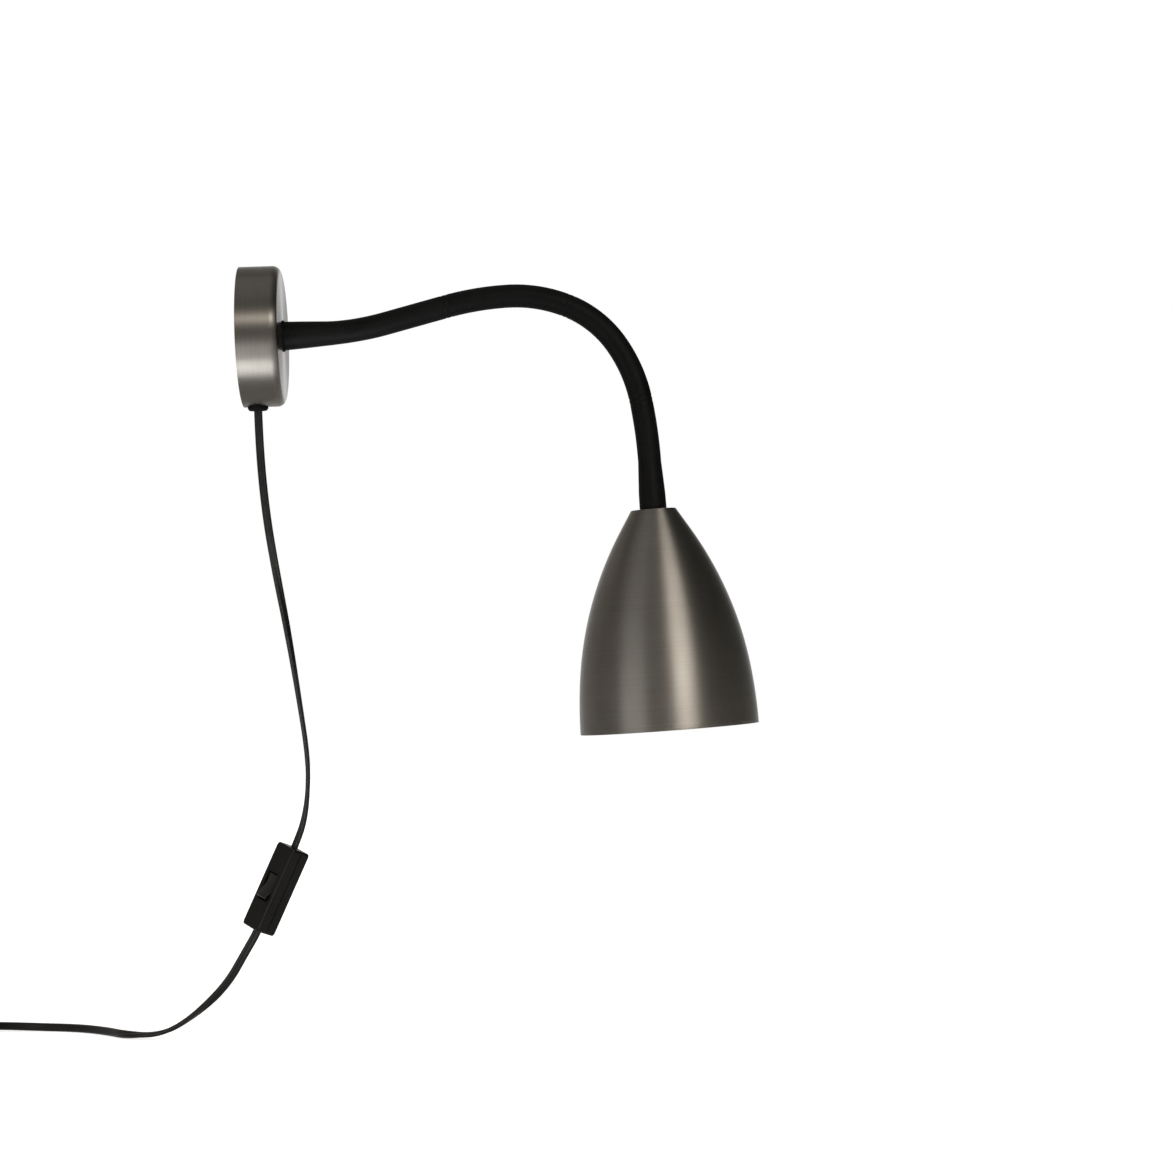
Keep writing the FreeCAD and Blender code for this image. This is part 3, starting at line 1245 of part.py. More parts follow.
def main():
    canopy_cup()
    back_plate()
    canopy_fasteners()
    base_fittings()
    foot_sleeve()
    cord_bushing()
    cord_clamp()
    terminal_block()
    canopy_leads()
    arm_links()
    neck_sleeve()
    head_fittings()
    shade()
    insert_low, shell_low = lampholder()
    bulb(insert_low, shell_low)
    outlet = (float(dim["cord_outlet"]), 0.0, -float(canopy_radius + dim["bushing_flange"]))
    cord_stretch("cord_upper", [outlet] + UPPER_ROUTE + switch_entry(1))
    switch_lid()
    switch_base()
    switch_insides()
    rocker()
    cord_stretch("cord_lower", switch_entry(-1)[::-1] + LOWER_ROUTE)
    coil_end, out_way = cord_coil()
    coil_tie()
    plug(coil_end, out_way)
    check_and_write()


main()
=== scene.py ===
"""Gooseneck wall sconce, dressed for the photograph's view.

Metres, the model's own frame: X = 0 is the wall, +Z is up, and the arm bends in the plane Y = 0.
"""
import math
import bmesh
import bpy
from mathutils import Matrix, Vector

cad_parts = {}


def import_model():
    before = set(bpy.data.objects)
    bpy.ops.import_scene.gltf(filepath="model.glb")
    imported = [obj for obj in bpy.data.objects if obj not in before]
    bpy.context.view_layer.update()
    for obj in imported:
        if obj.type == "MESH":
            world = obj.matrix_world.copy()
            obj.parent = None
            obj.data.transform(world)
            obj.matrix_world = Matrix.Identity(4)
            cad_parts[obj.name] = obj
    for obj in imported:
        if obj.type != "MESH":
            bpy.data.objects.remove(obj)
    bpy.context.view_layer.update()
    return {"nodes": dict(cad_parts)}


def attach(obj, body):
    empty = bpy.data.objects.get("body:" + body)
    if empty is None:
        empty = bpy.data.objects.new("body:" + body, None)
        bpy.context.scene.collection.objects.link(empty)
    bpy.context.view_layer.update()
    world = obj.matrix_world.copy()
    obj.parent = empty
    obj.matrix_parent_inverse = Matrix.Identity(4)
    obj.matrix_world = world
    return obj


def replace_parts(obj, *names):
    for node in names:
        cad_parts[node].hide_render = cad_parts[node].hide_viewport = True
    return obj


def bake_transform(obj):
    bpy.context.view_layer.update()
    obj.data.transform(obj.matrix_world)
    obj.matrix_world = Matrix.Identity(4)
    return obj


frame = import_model()
MM = 0.001
scene = bpy.context.scene
scene.view_settings.view_transform = "Standard"
X, Y = Vector((1, 0, 0)), Vector((0, 1, 0))

# ---------------------------------------------------------------- camera

FRAME_MM = 832.4               # what the picture's width covers at the arm's plane
DISTANCE_MM = 2350.0
SENSOR_MM = 36.0
ROLL = math.radians(1.8)
EYE_MM = Vector((244.5, -DISTANCE_MM, -230.6))
CENTRE_MM = Vector((239.0, 0.0, -184.5))       # the point in the middle of the picture


def add_camera():
    """The photograph's view: square on to the arm's plane, rolled a little."""
    data = bpy.data.cameras.new("camera")
    right = Vector((math.cos(ROLL), 0, -math.sin(ROLL)))
    up = Vector((math.sin(ROLL), 0, math.cos(ROLL)))
    aside = CENTRE_MM - EYE_MM
    data.sensor_fit = "HORIZONTAL"
    data.sensor_width = SENSOR_MM
    data.lens = SENSOR_MM * DISTANCE_MM / FRAME_MM
    data.shift_x = aside.dot(right) / FRAME_MM
    data.shift_y = aside.dot(up) / FRAME_MM
    data.clip_end = 50.0
    camera = bpy.data.objects.new("camera", data)
    back = -Y
    camera.matrix_world = Matrix((
        (right.x, up.x, back.x, EYE_MM.x * MM), (right.y, up.y, back.y, EYE_MM.y * MM),
        (right.z, up.z, back.z, EYE_MM.z * MM), (0, 0, 0, 1)))
    scene.collection.objects.link(camera)
    scene.camera = camera


add_camera()

# ---------------------------------------------------------------- materials


def new_material(name, **values):
    """A Principled material with these socket values, and its node tree."""
    material = bpy.data.materials.new(name)
    material.use_nodes = True
    shader = material.node_tree.nodes["Principled BSDF"]
    for socket, number in values.items():
        shader.inputs[socket.replace("_", " ")].default_value = number
    return material, material.node_tree, shader


def add_node(tree, kind, **settings):
    """A shader node; in_NAME sets the input NAME, and other keys set the node's own properties."""
    made = tree.nodes.new(kind)
    for key, setting in settings.items():
        if key.startswith("in_"):
            made.inputs[key[3:].replace("_", " ")].default_value = setting
        else:
            setattr(made, key, setting)
    return made


def noise(tree, vector, scale, detail=3.0, roughness=0.55):
    made = add_node(tree, "ShaderNodeTexNoise", in_Scale=scale, in_Detail=detail, in_Roughness=roughness)
    tree.links.new(vector, made.inputs["Vector"])
    return made.outputs["Fac"]


def ramp(tree, value, stops):
    """Map a value to colours by (position, colour) stops."""
    made = add_node(tree, "ShaderNodeValToRGB")
    elements = made.color_ramp.elements
    while len(elements) < len(stops):
        elements.new(0.5)
    for element, (position, colour) in zip(elements, stops):
        element.position = position
        element.color = (*colour, 1.0)
    tree.links.new(value, made.inputs["Fac"])
    return made.outputs["Color"]


def spread(tree, value, low, high):
    """Map a noise value to a range."""
    made = add_node(tree, "ShaderNodeMapRange", in_From_Min=0.3, in_From_Max=0.7,
                    in_To_Min=low, in_To_Max=high)
    tree.links.new(value, made.inputs["Value"])
    return made.outputs["Result"]


def maths(tree, operation, first, second=None):
    """A maths node whose operands are numbers or other nodes' outputs."""
    made = add_node(tree, "ShaderNodeMath", operation=operation)
    for socket, value in zip(made.inputs, (first, second)):
        if value is None:
            continue
        if isinstance(value, (int, float)):
            socket.default_value = value
        else:
            tree.links.new(value, socket)
    return made.outputs["Value"]


def bump(tree, shader, height, strength, distance):
    made = add_node(tree, "ShaderNodeBump", in_Strength=strength, in_Distance=distance)
    tree.links.new(height, made.inputs["Height"])
    tree.links.new(made.outputs["Normal"], shader.inputs["Normal"])


def turned_metal(name, dark, light, roughness, axis_turn, axis_at=(0, 0, 0), face_at=10.0):
    """Oxidised metal brushed on a lathe: fine lines round its axis, a cloudy patina, a smoother end face.

    The end face begins at face_at metres along the axis; the default lies beyond any piece.
    """
    line_pitch, drift = 60.0, 0.4
    material, tree, shader = new_material(name, Metallic=1.0, Anisotropic=0.84, Anisotropic_Rotation=0.25)
    place = add_node(tree, "ShaderNodeTexCoord").outputs["Object"]
    moved = add_node(tree, "ShaderNodeVectorMath", operation="SUBTRACT")
    moved.inputs[1].default_value = axis_at
    tree.links.new(place, moved.inputs[0])
    turned = add_node(tree, "ShaderNodeVectorRotate", rotation_type="AXIS_ANGLE", in_Axis=(0, 1, 0),
                      in_Angle=axis_turn)
    tree.links.new(moved.outputs["Vector"], turned.inputs["Vector"])
    parts = add_node(tree, "ShaderNodeSeparateXYZ")
    tree.links.new(turned.outputs["Vector"], parts.inputs["Vector"])
    x, y, z = (parts.outputs[letter] for letter in "XYZ")
    squares = maths(tree, "ADD", maths(tree, "MULTIPLY", x, x), maths(tree, "MULTIPLY", y, y))
    radius = maths(tree, "SQRT", squares)
    lines = add_node(tree, "ShaderNodeCombineXYZ")
    for across, aside, letter in ((z, x, "X"), (radius, y, "Y")):
        drifting = maths(tree, "MULTIPLY", aside, drift)
        place_on_line = maths(tree, "ADD", maths(tree, "MULTIPLY", across, line_pitch), drifting)
        tree.links.new(place_on_line, lines.inputs[letter])
    vector = lines.outputs["Vector"]
    broad = noise(tree, vector, 30.0, 3.0)
    fine = noise(tree, vector, 90.0, 2.0)
    cloud = noise(tree, place, 26.0, 4.0)
    both = maths(tree, "ADD", maths(tree, "MULTIPLY", broad, 0.3), maths(tree, "MULTIPLY", fine, 0.4))
    tone = maths(tree, "ADD", both, maths(tree, "MULTIPLY", cloud, 0.3))
    tree.links.new(ramp(tree, tone, [(0.32, dark), (0.68, light)]), shader.inputs["Base Color"])
    smoother = add_node(tree, "ShaderNodeMapRange", in_From_Min=face_at - 0.001, in_From_Max=face_at,
                        in_To_Min=1.0, in_To_Max=0.5)
    tree.links.new(z, smoother.inputs["Value"])
    tree.links.new(maths(tree, "MULTIPLY", spread(tree, tone, roughness + 0.04, roughness - 0.03),
                         smoother.outputs["Result"]), shader.inputs["Roughness"])
    bump(tree, shader, both, 0.12, 0.00006)
    tangent = add_node(tree, "ShaderNodeTangent", direction_type="RADIAL",
                       axis="X" if abs(axis_turn) > 1 else "Z")
    tree.links.new(tangent.outputs["Tangent"], shader.inputs["Tangent"])
    return material


def grained(name, dark, light, roughness, grain, depth, strength=0.3, cloud_scale=30.0, **values):
    """A surface with a fine grain and slow changes of tone, such as moulded plastic or rubber."""
    material, tree, shader = new_material(name, **values)
    place = add_node(tree, "ShaderNodeTexCoord").outputs["Object"]
    fine = noise(tree, place, grain, 3.0)
    cloud = noise(tree, place, cloud_scale, 4.0)
    tone = maths(tree, "ADD", maths(tree, "MULTIPLY", fine, 0.35), maths(tree, "MULTIPLY", cloud, 0.65))
    tree.links.new(ramp(tree, tone, [(0.35, dark), (0.65, light)]), shader.inputs["Base Color"])
    tree.links.new(spread(tree, cloud, roughness - 0.05, roughness + 0.06), shader.inputs["Roughness"])
    bump(tree, shader, fine, strength, depth)
    return material


def make_materials():
    made = {}
    steel_dark, steel_light, steel_roughness = (0.105, 0.097, 0.086), (0.145, 0.136, 0.123), 0.44
    made["canopy"] = turned_metal("canopy_metal", steel_dark, steel_light, steel_roughness,
                                  math.radians(-90), face_at=CANOPY_DEPTH - 0.1 * MM)
    made["shade"] = turned_metal("shade_metal", steel_dark, steel_light, steel_roughness,
                                 -SHADE_TILT, SHADE_TOP)
    made["collar"] = grained("collar_paint", (0.002, 0.002, 0.002), (0.004, 0.004, 0.004), 0.75, 1200.0,
                             0.00004, Specular_IOR_Level=0.03)
    made["rocker"] = grained("rocker_moulding", (0.002, 0.002, 0.0017), (0.004, 0.004, 0.0034), 0.2, 2200.0,
                             0.00002, 0.2, Specular_IOR_Level=0.28)
    made["sleeve"] = grained("sleeve_skin", (0.0018, 0.0018, 0.0018), (0.0035, 0.0035, 0.0035), 0.55,
                             1400.0, 0.00010, 0.4, 60.0, Specular_IOR_Level=0.05)
    made["cord"] = grained("cord_skin", (0.003, 0.003, 0.003), (0.006, 0.006, 0.0055), 0.32, 900.0, 0.00005,
                           Specular_IOR_Level=0.2)
    made["switch"] = grained("switch_moulding", (0.002, 0.002, 0.0017), (0.004, 0.004, 0.0034), 0.3, 2200.0,
                             0.00003, 0.25, Specular_IOR_Level=0.13)
    made["tie"] = grained("tie_weave", (0.008, 0.008, 0.008), (0.02, 0.02, 0.02), 0.8, 1800.0, 0.0002, 0.6)
    made["holder"] = grained("holder_moulding", (0.008, 0.008, 0.007), (0.016, 0.015, 0.013), 0.3, 700.0,
                             0.00003, 0.2)
    made["terminal"] = grained("terminal_moulding", (0.68, 0.67, 0.62), (0.78, 0.77, 0.73), 0.5, 900.0,
                               0.00004)
    made["wire"] = grained("wire_skin", (0.16, 0.08, 0.04), (0.24, 0.12, 0.06), 0.45, 900.0, 0.00004)
    made["zinc"] = grained("zinc_plate", (0.42, 0.43, 0.45), (0.62, 0.63, 0.65), 0.35, 500.0, 0.00005,
                           Metallic=1.0)
    made["brass"] = grained("brass_plain", (0.62, 0.44, 0.18), (0.78, 0.58, 0.28), 0.32, 500.0, 0.00003,
                            Metallic=1.0)
    made["nickel"] = grained("nickel_plate", (0.60, 0.57, 0.52), (0.76, 0.73, 0.68), 0.2, 400.0, 0.00002,
                             Metallic=1.0)
    made["porcelain"] = grained("porcelain_glaze", (0.78, 0.76, 0.70), (0.86, 0.84, 0.79), 0.22, 300.0,
                                0.00003)
    made["glass"] = grained("opal_glass", (0.86, 0.85, 0.80), (0.92, 0.91, 0.87), 0.28, 200.0, 0.00001, 0.1,
                            Transmission_Weight=0.25, Subsurface_Weight=0.2)
    return made


# ---------------------------------------------------------------- mesh helpers


def mesh_piece(name, points, faces, body, material, sharp=40.0):
    """A smooth-shaded piece with creases kept sharp."""
    mesh = bpy.data.meshes.new(name)
    mesh.from_pydata([tuple(point) for point in points], [], faces)
    return finish_mesh(name, mesh, body, material, sharp)


def finish_mesh(name, mesh, body, material, sharp=40.0):
    """Shade a mesh smooth up to its sharp edges, and make it a piece that rides on a body."""
    work = bmesh.new()
    work.from_mesh(mesh)
    bmesh.ops.recalc_face_normals(work, faces=work.faces)
    for face in work.faces:
        face.smooth = True
    for edge in work.edges:
        if len(edge.link_faces) == 2 and edge.calc_face_angle(0) > math.radians(sharp):
            edge.smooth = False
    work.to_mesh(mesh)
    work.free()
    mesh.materials.append(material)
    piece = bpy.data.objects.new(name, mesh)
    scene.collection.objects.link(piece)
    if body:
        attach(piece, body)
    return piece


def rounded(corners, steps=6):
    """A polyline whose corners (a, b, radius) are rounded; (a, b) stays sharp."""
    result = []
    for index, corner in enumerate(corners):
        here = Vector(corner[:2])
        if len(corner) == 2 or index in (0, len(corners) - 1):
            result.append(here)
            continue
        before = (Vector(corners[index - 1][:2]) - here).normalized()
        after = (Vector(corners[index + 1][:2]) - here).normalized()
        half = before.angle(after) / 2
        setback = corner[2] / math.tan(half)
        centre = here + (before + after).normalized() * (corner[2] / math.sin(half))
        start, end = here + before * setback - centre, here + after * setback - centre
        turn = math.atan2(start.x * end.y - start.y * end.x, start.dot(end))
        for step in range(steps + 1):
            angle = turn * step / steps
            cosine, sine = math.cos(angle), math.sin(angle)
            reach = Vector((start.x * cosine - start.y * sine, start.x * sine + start.y * cosine))
            result.append(centre + reach)
    return result


def lathe(name, profile, place, body, material, segments=128, closed=False, sharp=40.0):
    """Turn (radius, height) points about a place's Z axis; closed joins the profile's ends."""
    points, faces, rings = [], [], []
    for radius, height in profile:
        if radius < 1e-7:
            rings.append([len(points)] * segments)
            points.append(place @ Vector((0, 0, height)))
            continue
        rings.append(list(range(len(points), len(points) + segments)))
        for step in range(segments):
            angle = 2 * math.pi * step / segments
            points.append(place @ Vector((radius * math.cos(angle), radius * math.sin(angle), height)))
    pairs = list(zip(rings, rings[1:])) + ([(rings[-1], rings[0])] if closed else [])
    for low, high in pairs:
        for step in range(segments):
            after = (step + 1) % segments
            face = [low[step], low[after], high[after], high[step]]
            face = [row for index, row in enumerate(face) if row != face[index - 1]]
            if len(face) > 2:
                faces.append(face)
    return mesh_piece(name, points, faces, body, material, sharp)


def swept(name, rings, body, material, capped=False, sharp=40.0):
    count = len(rings[0])
    points = [point for ring in rings for point in ring]
    faces = []
    for row in range(len(rings) - 1):
        for step in range(count):
            after = (step + 1) % count
            a, b = row * count, (row + 1) * count
            faces.append([a + step, a + after, b + after, b + step])
    if capped:
        faces.append(list(range(count))[::-1])
        faces.append(list(range(len(points) - count, len(points))))
    return mesh_piece(name, points, faces, body, material, sharp)


def frame_at(origin, x_axis, z_axis):
    """A placement from its origin and two axes."""
    z_axis = z_axis.normalized()
    y_axis = z_axis.cross(x_axis).normalized()
    x_axis = y_axis.cross(z_axis)
    return Matrix((
        (x_axis.x, y_axis.x, z_axis.x, origin.x), (x_axis.y, y_axis.y, z_axis.y, origin.y),
        (x_axis.z, y_axis.z, z_axis.z, origin.z), (0, 0, 0, 1)))


# ---------------------------------------------------------------- places of the canopy, arm and shade

CANOPY_RADIUS, CANOPY_DEPTH = 0.04965, 0.0292
FOOT_MM = 30.0
LINK_MM = 44.0
NECK_MM = 34.0
ARM_START_MM = Vector((29.2, 0, 0))
ARM_START_ANGLE = -1.7                                      # degrees below the horizontal
LINK_BENDS = [-12.2, 0.1, 12.0, 25.4, 32.7, 23.6, 7.6]      # degrees down along each link
STATIONS = 30                                               # in each length of the arm


def heading(angle):
    """The arm's direction where it points this many degrees below the horizontal."""
    return Vector((math.cos(math.radians(angle)), 0, -math.sin(math.radians(angle))))


def underside(angle):
    """The direction square to the arm, towards its underside."""
    return Vector((-math.sin(math.radians(angle)), 0, -math.cos(math.radians(angle))))


def arm_point(point, angle, length, bend):
    """Follow the arm for a length; returns the new point and its angle below the horizontal."""
    way, down = heading(angle), underside(angle)
    turn = math.radians(bend)
    if abs(turn) < 1e-6:
        return point + way * length, angle
    radius = length / turn
    return point + way * (radius * math.sin(turn)) + down * (radius * (1 - math.cos(turn))), angle + bend


def arm_line():
    """Stations (length along, point, angle) every millimetre or so, and how far along the joints are."""
    point, angle = ARM_START_MM, ARM_START_ANGLE
    stations, joints, along = [], [], 0.0
    for length, bend in [(FOOT_MM, 0.0)] + [(LINK_MM, bend) for bend in LINK_BENDS] + [(NECK_MM, 0.0)]:
        for step in range(STATIONS):
            run = length * step / STATIONS
            stations.append((along + run, *arm_point(point, angle, run, bend * step / STATIONS)))
        point, angle = arm_point(point, angle, length, bend)
        along += length
        joints.append(along)
    stations.append((along, point, angle))
    return stations, joints[:-1]


ARM, JOINTS_AT = arm_line()
ARM_LENGTH = ARM[-1][0]
SHADE_TOP = ARM[-1][1] * MM
SHADE_TILT = math.radians(ARM[-1][2] - 90.0)
HEAD = Matrix.Translation(SHADE_TOP) @ Matrix.Rotation(SHADE_TILT, 4, "Y")
CANOPY = frame_at(Vector((0, 0, 0)), Y, X)
material = make_materials()

# ---------------------------------------------------------------- cord

FLOOR = -0.49545
CORD_WIDTH, CORD_THICK = 0.0059, 0.0033
CORD_EXIT_X = 0.0099
UPPER_ROUTE = [
    (9.9, 0.0, -52.35), (10.0, 0.0, -79.6), (13.0, 0.0, -124.6), (18.5, 0.0, -164.6),
    (26.0, 0.0, -209.6), (33.0, 0.0, -261.6), (37.5, 0.0, -299.6), (36.6, 0.0, -324.6),
    (33.2, 0.0, -344.6), (27.08, 0.0, -359.96), (23.78, 0.0, -366.81),
]
LOWER_ROUTE = [
    (0.02, 0.0, -416.19), (-3.28, 0.0, -423.04), (-10.5, 0.0, -434.6), (-25.0, 0.0, -458.6),
    (-47.9, 0.0, -479.1), (-71.0, 0.5, -492.3), (-98.0, 6.5, -492.5), (-116.0, 36.0, -492.5),
    (-140.0, 62.0, -492.5), (-170.0, 77.0, -492.5), (-206.0, 85.0, -491.2),
]
COIL = Vector((-248.0, 44.0, 0))


def eased(share):
    """A share from 0 to 1 with a soft start and end."""
    return share * share * (3 - 2 * share)


def coil_route():
    """The put-away turns: a spiral in, a climb to the second layer, and a spiral out."""
    turns = []
    last, step, middle = 2250, 30, 1170.0           # degrees wound: in all, in a step, and at mid climb
    inner, growth = 21.5, 3.25                      # radius at the middle, and how much a half turn adds
    mean, evenness = 32.9, 0.7                      # the radii are drawn towards this one
    climb_from = 1080.0
    low, layer = 4.25, 6.1                          # the first layer's height, and the second's above it
    cut_corner = 0.966                              # the spline runs this much inside its control points
    for angle in range(0, last + 1, step):
        radius = inner + growth * abs(angle - middle) / 180.0
        radius = mean + (radius - mean) * evenness
        climb = eased(min(max((angle - climb_from) / 180.0, 0.0), 1.0))
        height = low + layer * climb
        reach = radius / cut_corner
        turn = math.radians(angle)
        turns.append((COIL.x - reach * math.sin(turn), COIL.y + reach * math.cos(turn),
                      FLOOR / MM + height))
    return turns


TAIL_ROUTE = [(-288.2, 30.0, -486.0), (-289.0, 12.0, -488.0), (-289.0, 0.0, -488.6), (-289.0, -8.9, -488.6)]


def spline_line(name, route):
    """The smooth line of a cord: a NURBS spline with the route's points as its control points."""
    curve = bpy.data.curves.new(name, "CURVE")
    curve.dimensions = "3D"
    spline = curve.splines.new("NURBS")
    spline.points.add(len(route) - 1)
    for point, corner in zip(spline.points, route):
        point.co = (corner[0] * MM, corner[1] * MM, corner[2] * MM, 1.0)
    spline.order_u = 3
    spline.use_endpoint_u = True
    spline.resolution_u = 10
    holder = bpy.data.objects.new(name, curve)
    scene.collection.objects.link(holder)
    line = bpy.data.meshes.new_from_object(holder)
    points = [vertex.co.copy() for vertex in line.vertices]
    bpy.data.objects.remove(holder)
    bpy.data.curves.remove(curve)
    bpy.data.meshes.remove(line)
    return points


def twin_section():
    """The flat cord's outline: two round cores side by side, with a shallow waist."""
    lobe = CORD_THICK / 2
    apart = CORD_WIDTH / 2 - lobe
    half = []
    for step in range(11):
        angle = math.radians(-120 + 24 * step)
        half.append((apart + lobe * math.cos(angle), lobe * math.sin(angle)))
    return half + [(-a, -b) for a, b in half]


def twist_at(stops, along):
    """The twist between (length, twist) stops."""
    for (start, first), (end, last) in zip(stops, stops[1:]):
        if along <= end:
            return first + (last - first) * eased((along - start) / (end - start))
    return stops[-1][1]


def flat_cord(name, line, twists):
    """A flat twin cord along a line, its width turned by the twists; returns it and its length in mm."""
    side = Y.copy()
    rings, along = [], 0.0
    section = twin_section()
    for index, point in enumerate(line):
        way = (line[min(index + 1, len(line) - 1)] - line[max(index - 1, 0)]).normalized()
        side = (side - way * side.dot(way)).normalized()
        across = side.cross(way)
        if index:
            along += (point - line[index - 1]).length / MM
        angle = math.radians(twist_at(twists, along))
        wide = across * math.cos(angle) + side * math.sin(angle)
        thin = way.cross(wide)
        rings.append([point + wide * a + thin * b for a, b in section])
    return swept(name, rings, "wall_side", material["cord"], capped=True), along


def make_cord(name, route, twists, *nodes):
    """A cord in place of its CAD nodes; returns the piece, its line and its length in mm."""
    line = spline_line(name + "_line", route)
    cord, length = flat_cord(name, line, twists)
    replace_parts(cord, *nodes)
    return cord, line, length


# (length along in mm, degrees)
UPPER_TWISTS = [(0, 0), (60, -4), (235, -88), (262, -92), (315, -135), (400, -135)]
LOWER_TWISTS = [(0, 0), (48, -8), (92, -80), (116, -95), (150, -165), (1540, -180), (1590, -270),
                (2500, -270)]
upper_cord, upper_line, upper_length = make_cord("lead_upper", UPPER_ROUTE, UPPER_TWISTS, "cord_upper")
whole_lower_route = LOWER_ROUTE + coil_route() + TAIL_ROUTE
lower_cord, lower_line, lower_length = make_cord(
    "lead_lower", whole_lower_route, LOWER_TWISTS, "cord_lower", "cord_coil", "cord_tail")

# ---------------------------------------------------------------- canopy


BORE = 0.0051                  # radius of the holes that the arm's threaded ends pass


def canopy():
    """The cup, open at the wall, and the thin collar round the arm."""
    wall = 1.0 * MM
    outer, depth = CANOPY_RADIUS, CANOPY_DEPTH
    outside = rounded([(BORE, depth), (outer, depth, 0.0055), (outer, 0.0)], 14)
    inside = rounded([(outer - wall, 0.0), (outer - wall, depth - wall, 0.0045), (BORE, depth - wall)], 8)
    cup = lathe("canopy_shell", outside + inside, CANOPY, "wall_side", material["canopy"],
                192, closed=True)
    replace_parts(cup, "canopy_cup")
    rim, top = 0.0111, depth + 0.0012
    collar = rounded([(BORE, depth), (rim, depth), (rim, top, 0.0005), (BORE, top)], 6)
    ring = lathe("canopy_collar", collar, CANOPY, "wall_side", material["collar"], 96,
                 closed=True)
    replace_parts(ring, "arm_collar")


canopy()


def bushing():
    """Moulded cord bushing: a stepped flange that narrows downwards round the flat cord."""
    place = Matrix.Translation((CORD_EXIT_X, 0, 0))
    profile = rounded([
        (0.0044, -0.0488), (0.0073, -0.0490), (0.0073, -0.0508, 0.0006), (0.0062, -0.0523, 0.0005),
        (0.0040, -0.0523, 0.0004), (0.0030, -0.0516), (0.0030, -0.0488)], 5)
    piece = lathe("cord_grommet", profile, place, "wall_side", material["collar"], 64,
                  closed=True)
    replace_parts(piece, "cord_bushing")
    return piece


grommet = bushing()

# ---------------------------------------------------------------- arm sleeve


SLEEVE_MM = 8.2                # outside radius away from the flared ends
FOOT_FLARE = [(0.0, 10.2), (6.5, 9.95), (15.0, 9.55), (23.0, 9.1), (31.0, 8.65), (39.0, 8.35),
              (50.0, SLEEVE_MM)]       # (length along, radius) at the canopy
NECK_FLARE_MM = 9.4            # radius where the straighter cuff at the shade begins
NECK_CUFF_MM = 12.0            # and the cuff's length
FOOT_GAP_MM = 1.2              # the skin begins in front of the collar

# A blended piece can be posed wrongly at a joint about the frame's Y between bodies that are
# already turned sideways, so the skin is split there.
SPLIT_LENGTHS = (2, 4, 6)      # counted from 0 at the canopy
BALL_EDGE = 13.5               # degrees from the joint's plane to each half's edge; bends reach 25
BALL_END = 44                  # degrees past the plane where the ball ends, still covered at full bend


def sleeve_radius(along):
    """The sleeve's outside radius: flared at the canopy and towards the shade."""
    for (low, first), (high, last) in zip(FOOT_FLARE, FOOT_FLARE[1:]):
        if along <= high:
            return first + (last - first) * (along - low) / (high - low)
    from_end = ARM_LENGTH - along
    if from_end > NECK_MM:
        return SLEEVE_MM
    if from_end > NECK_CUFF_MM:
        flare = NECK_FLARE_MM - SLEEVE_MM
        return SLEEVE_MM + flare * (NECK_MM - from_end) / (NECK_MM - NECK_CUFF_MM)
    return NECK_FLARE_MM + 0.2 * (NECK_CUFF_MM - from_end) / NECK_CUFF_MM


def sleeve_ring(station, radius, segments=56):
    """A ring of points round the arm at a station."""
    _, point, angle = station
    down = underside(angle)
    ring = []
    for step in range(segments):
        turn = 2 * math.pi * step / segments
        ring.append((point + (down * math.cos(turn) + Y * math.sin(turn)) * radius) * MM)
    return ring


def station_at(along):
    return min(ARM, key=lambda station: abs(station[0] - along))


def split_length(number, joint, stations, bodies):
    """A length in two rigid halves that meet on a ball about their joint."""
    _, centre, angle = station_at(joint)
    radius, way = sleeve_radius(joint), heading(angle)
    lip = radius * math.cos(math.radians(BALL_EDGE))
    reach = radius * math.sin(math.radians(BALL_EDGE))
    clear = 0.2
    near = [s for s in stations if s[0] < joint - reach - clear]
    far = [s for s in stations if s[0] > joint + reach + clear]
    near.append((joint - reach, centre - way * reach, angle))
    far.insert(0, (joint + reach, centre + way * reach, angle))
    rings = [sleeve_ring(s, sleeve_radius(s[0])) for s in near]
    rings[-1] = sleeve_ring(near[-1], lip)
    for lean in range(-8, BALL_END + 1, 4):
        turn = math.radians(lean)
        middle = centre + way * (radius * math.sin(turn))
        rings.append(sleeve_ring((joint, middle, angle), radius * math.cos(turn)))
    ball = swept(f"sleeve_{number + 1}", rings, bodies[number], material["sleeve"])
    rings = [sleeve_ring(s, sleeve_radius(s[0])) for s in far]
    rings[0] = sleeve_ring(far[0], lip + 0.03)
    swept(f"sleeve_{number + 1}_far", rings, bodies[number + 1], material["sleeve"])
    return ball


def blended_length(number, joint, stations, bodies):
    """A length of one skin across its joint, built in place and left on no body."""
    rings = [sleeve_ring(s, sleeve_radius(s[0])) for s in stations]
    if number == 0:
        rings.insert(0, sleeve_ring(stations[0], sleeve_radius(0) - 0.5))
        rings[1] = sleeve_ring(stations[0], sleeve_radius(0) - 0.05)
    if number == len(JOINTS_AT) - 1:
        last = stations[-1]
        rings[-1] = sleeve_ring(last, sleeve_radius(last[0]) - 0.35)
        rings.append(sleeve_ring(last, 6.6))
    piece = swept(f"sleeve_{number + 1}", rings, None, material["sleeve"])
    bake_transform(piece)
    return piece


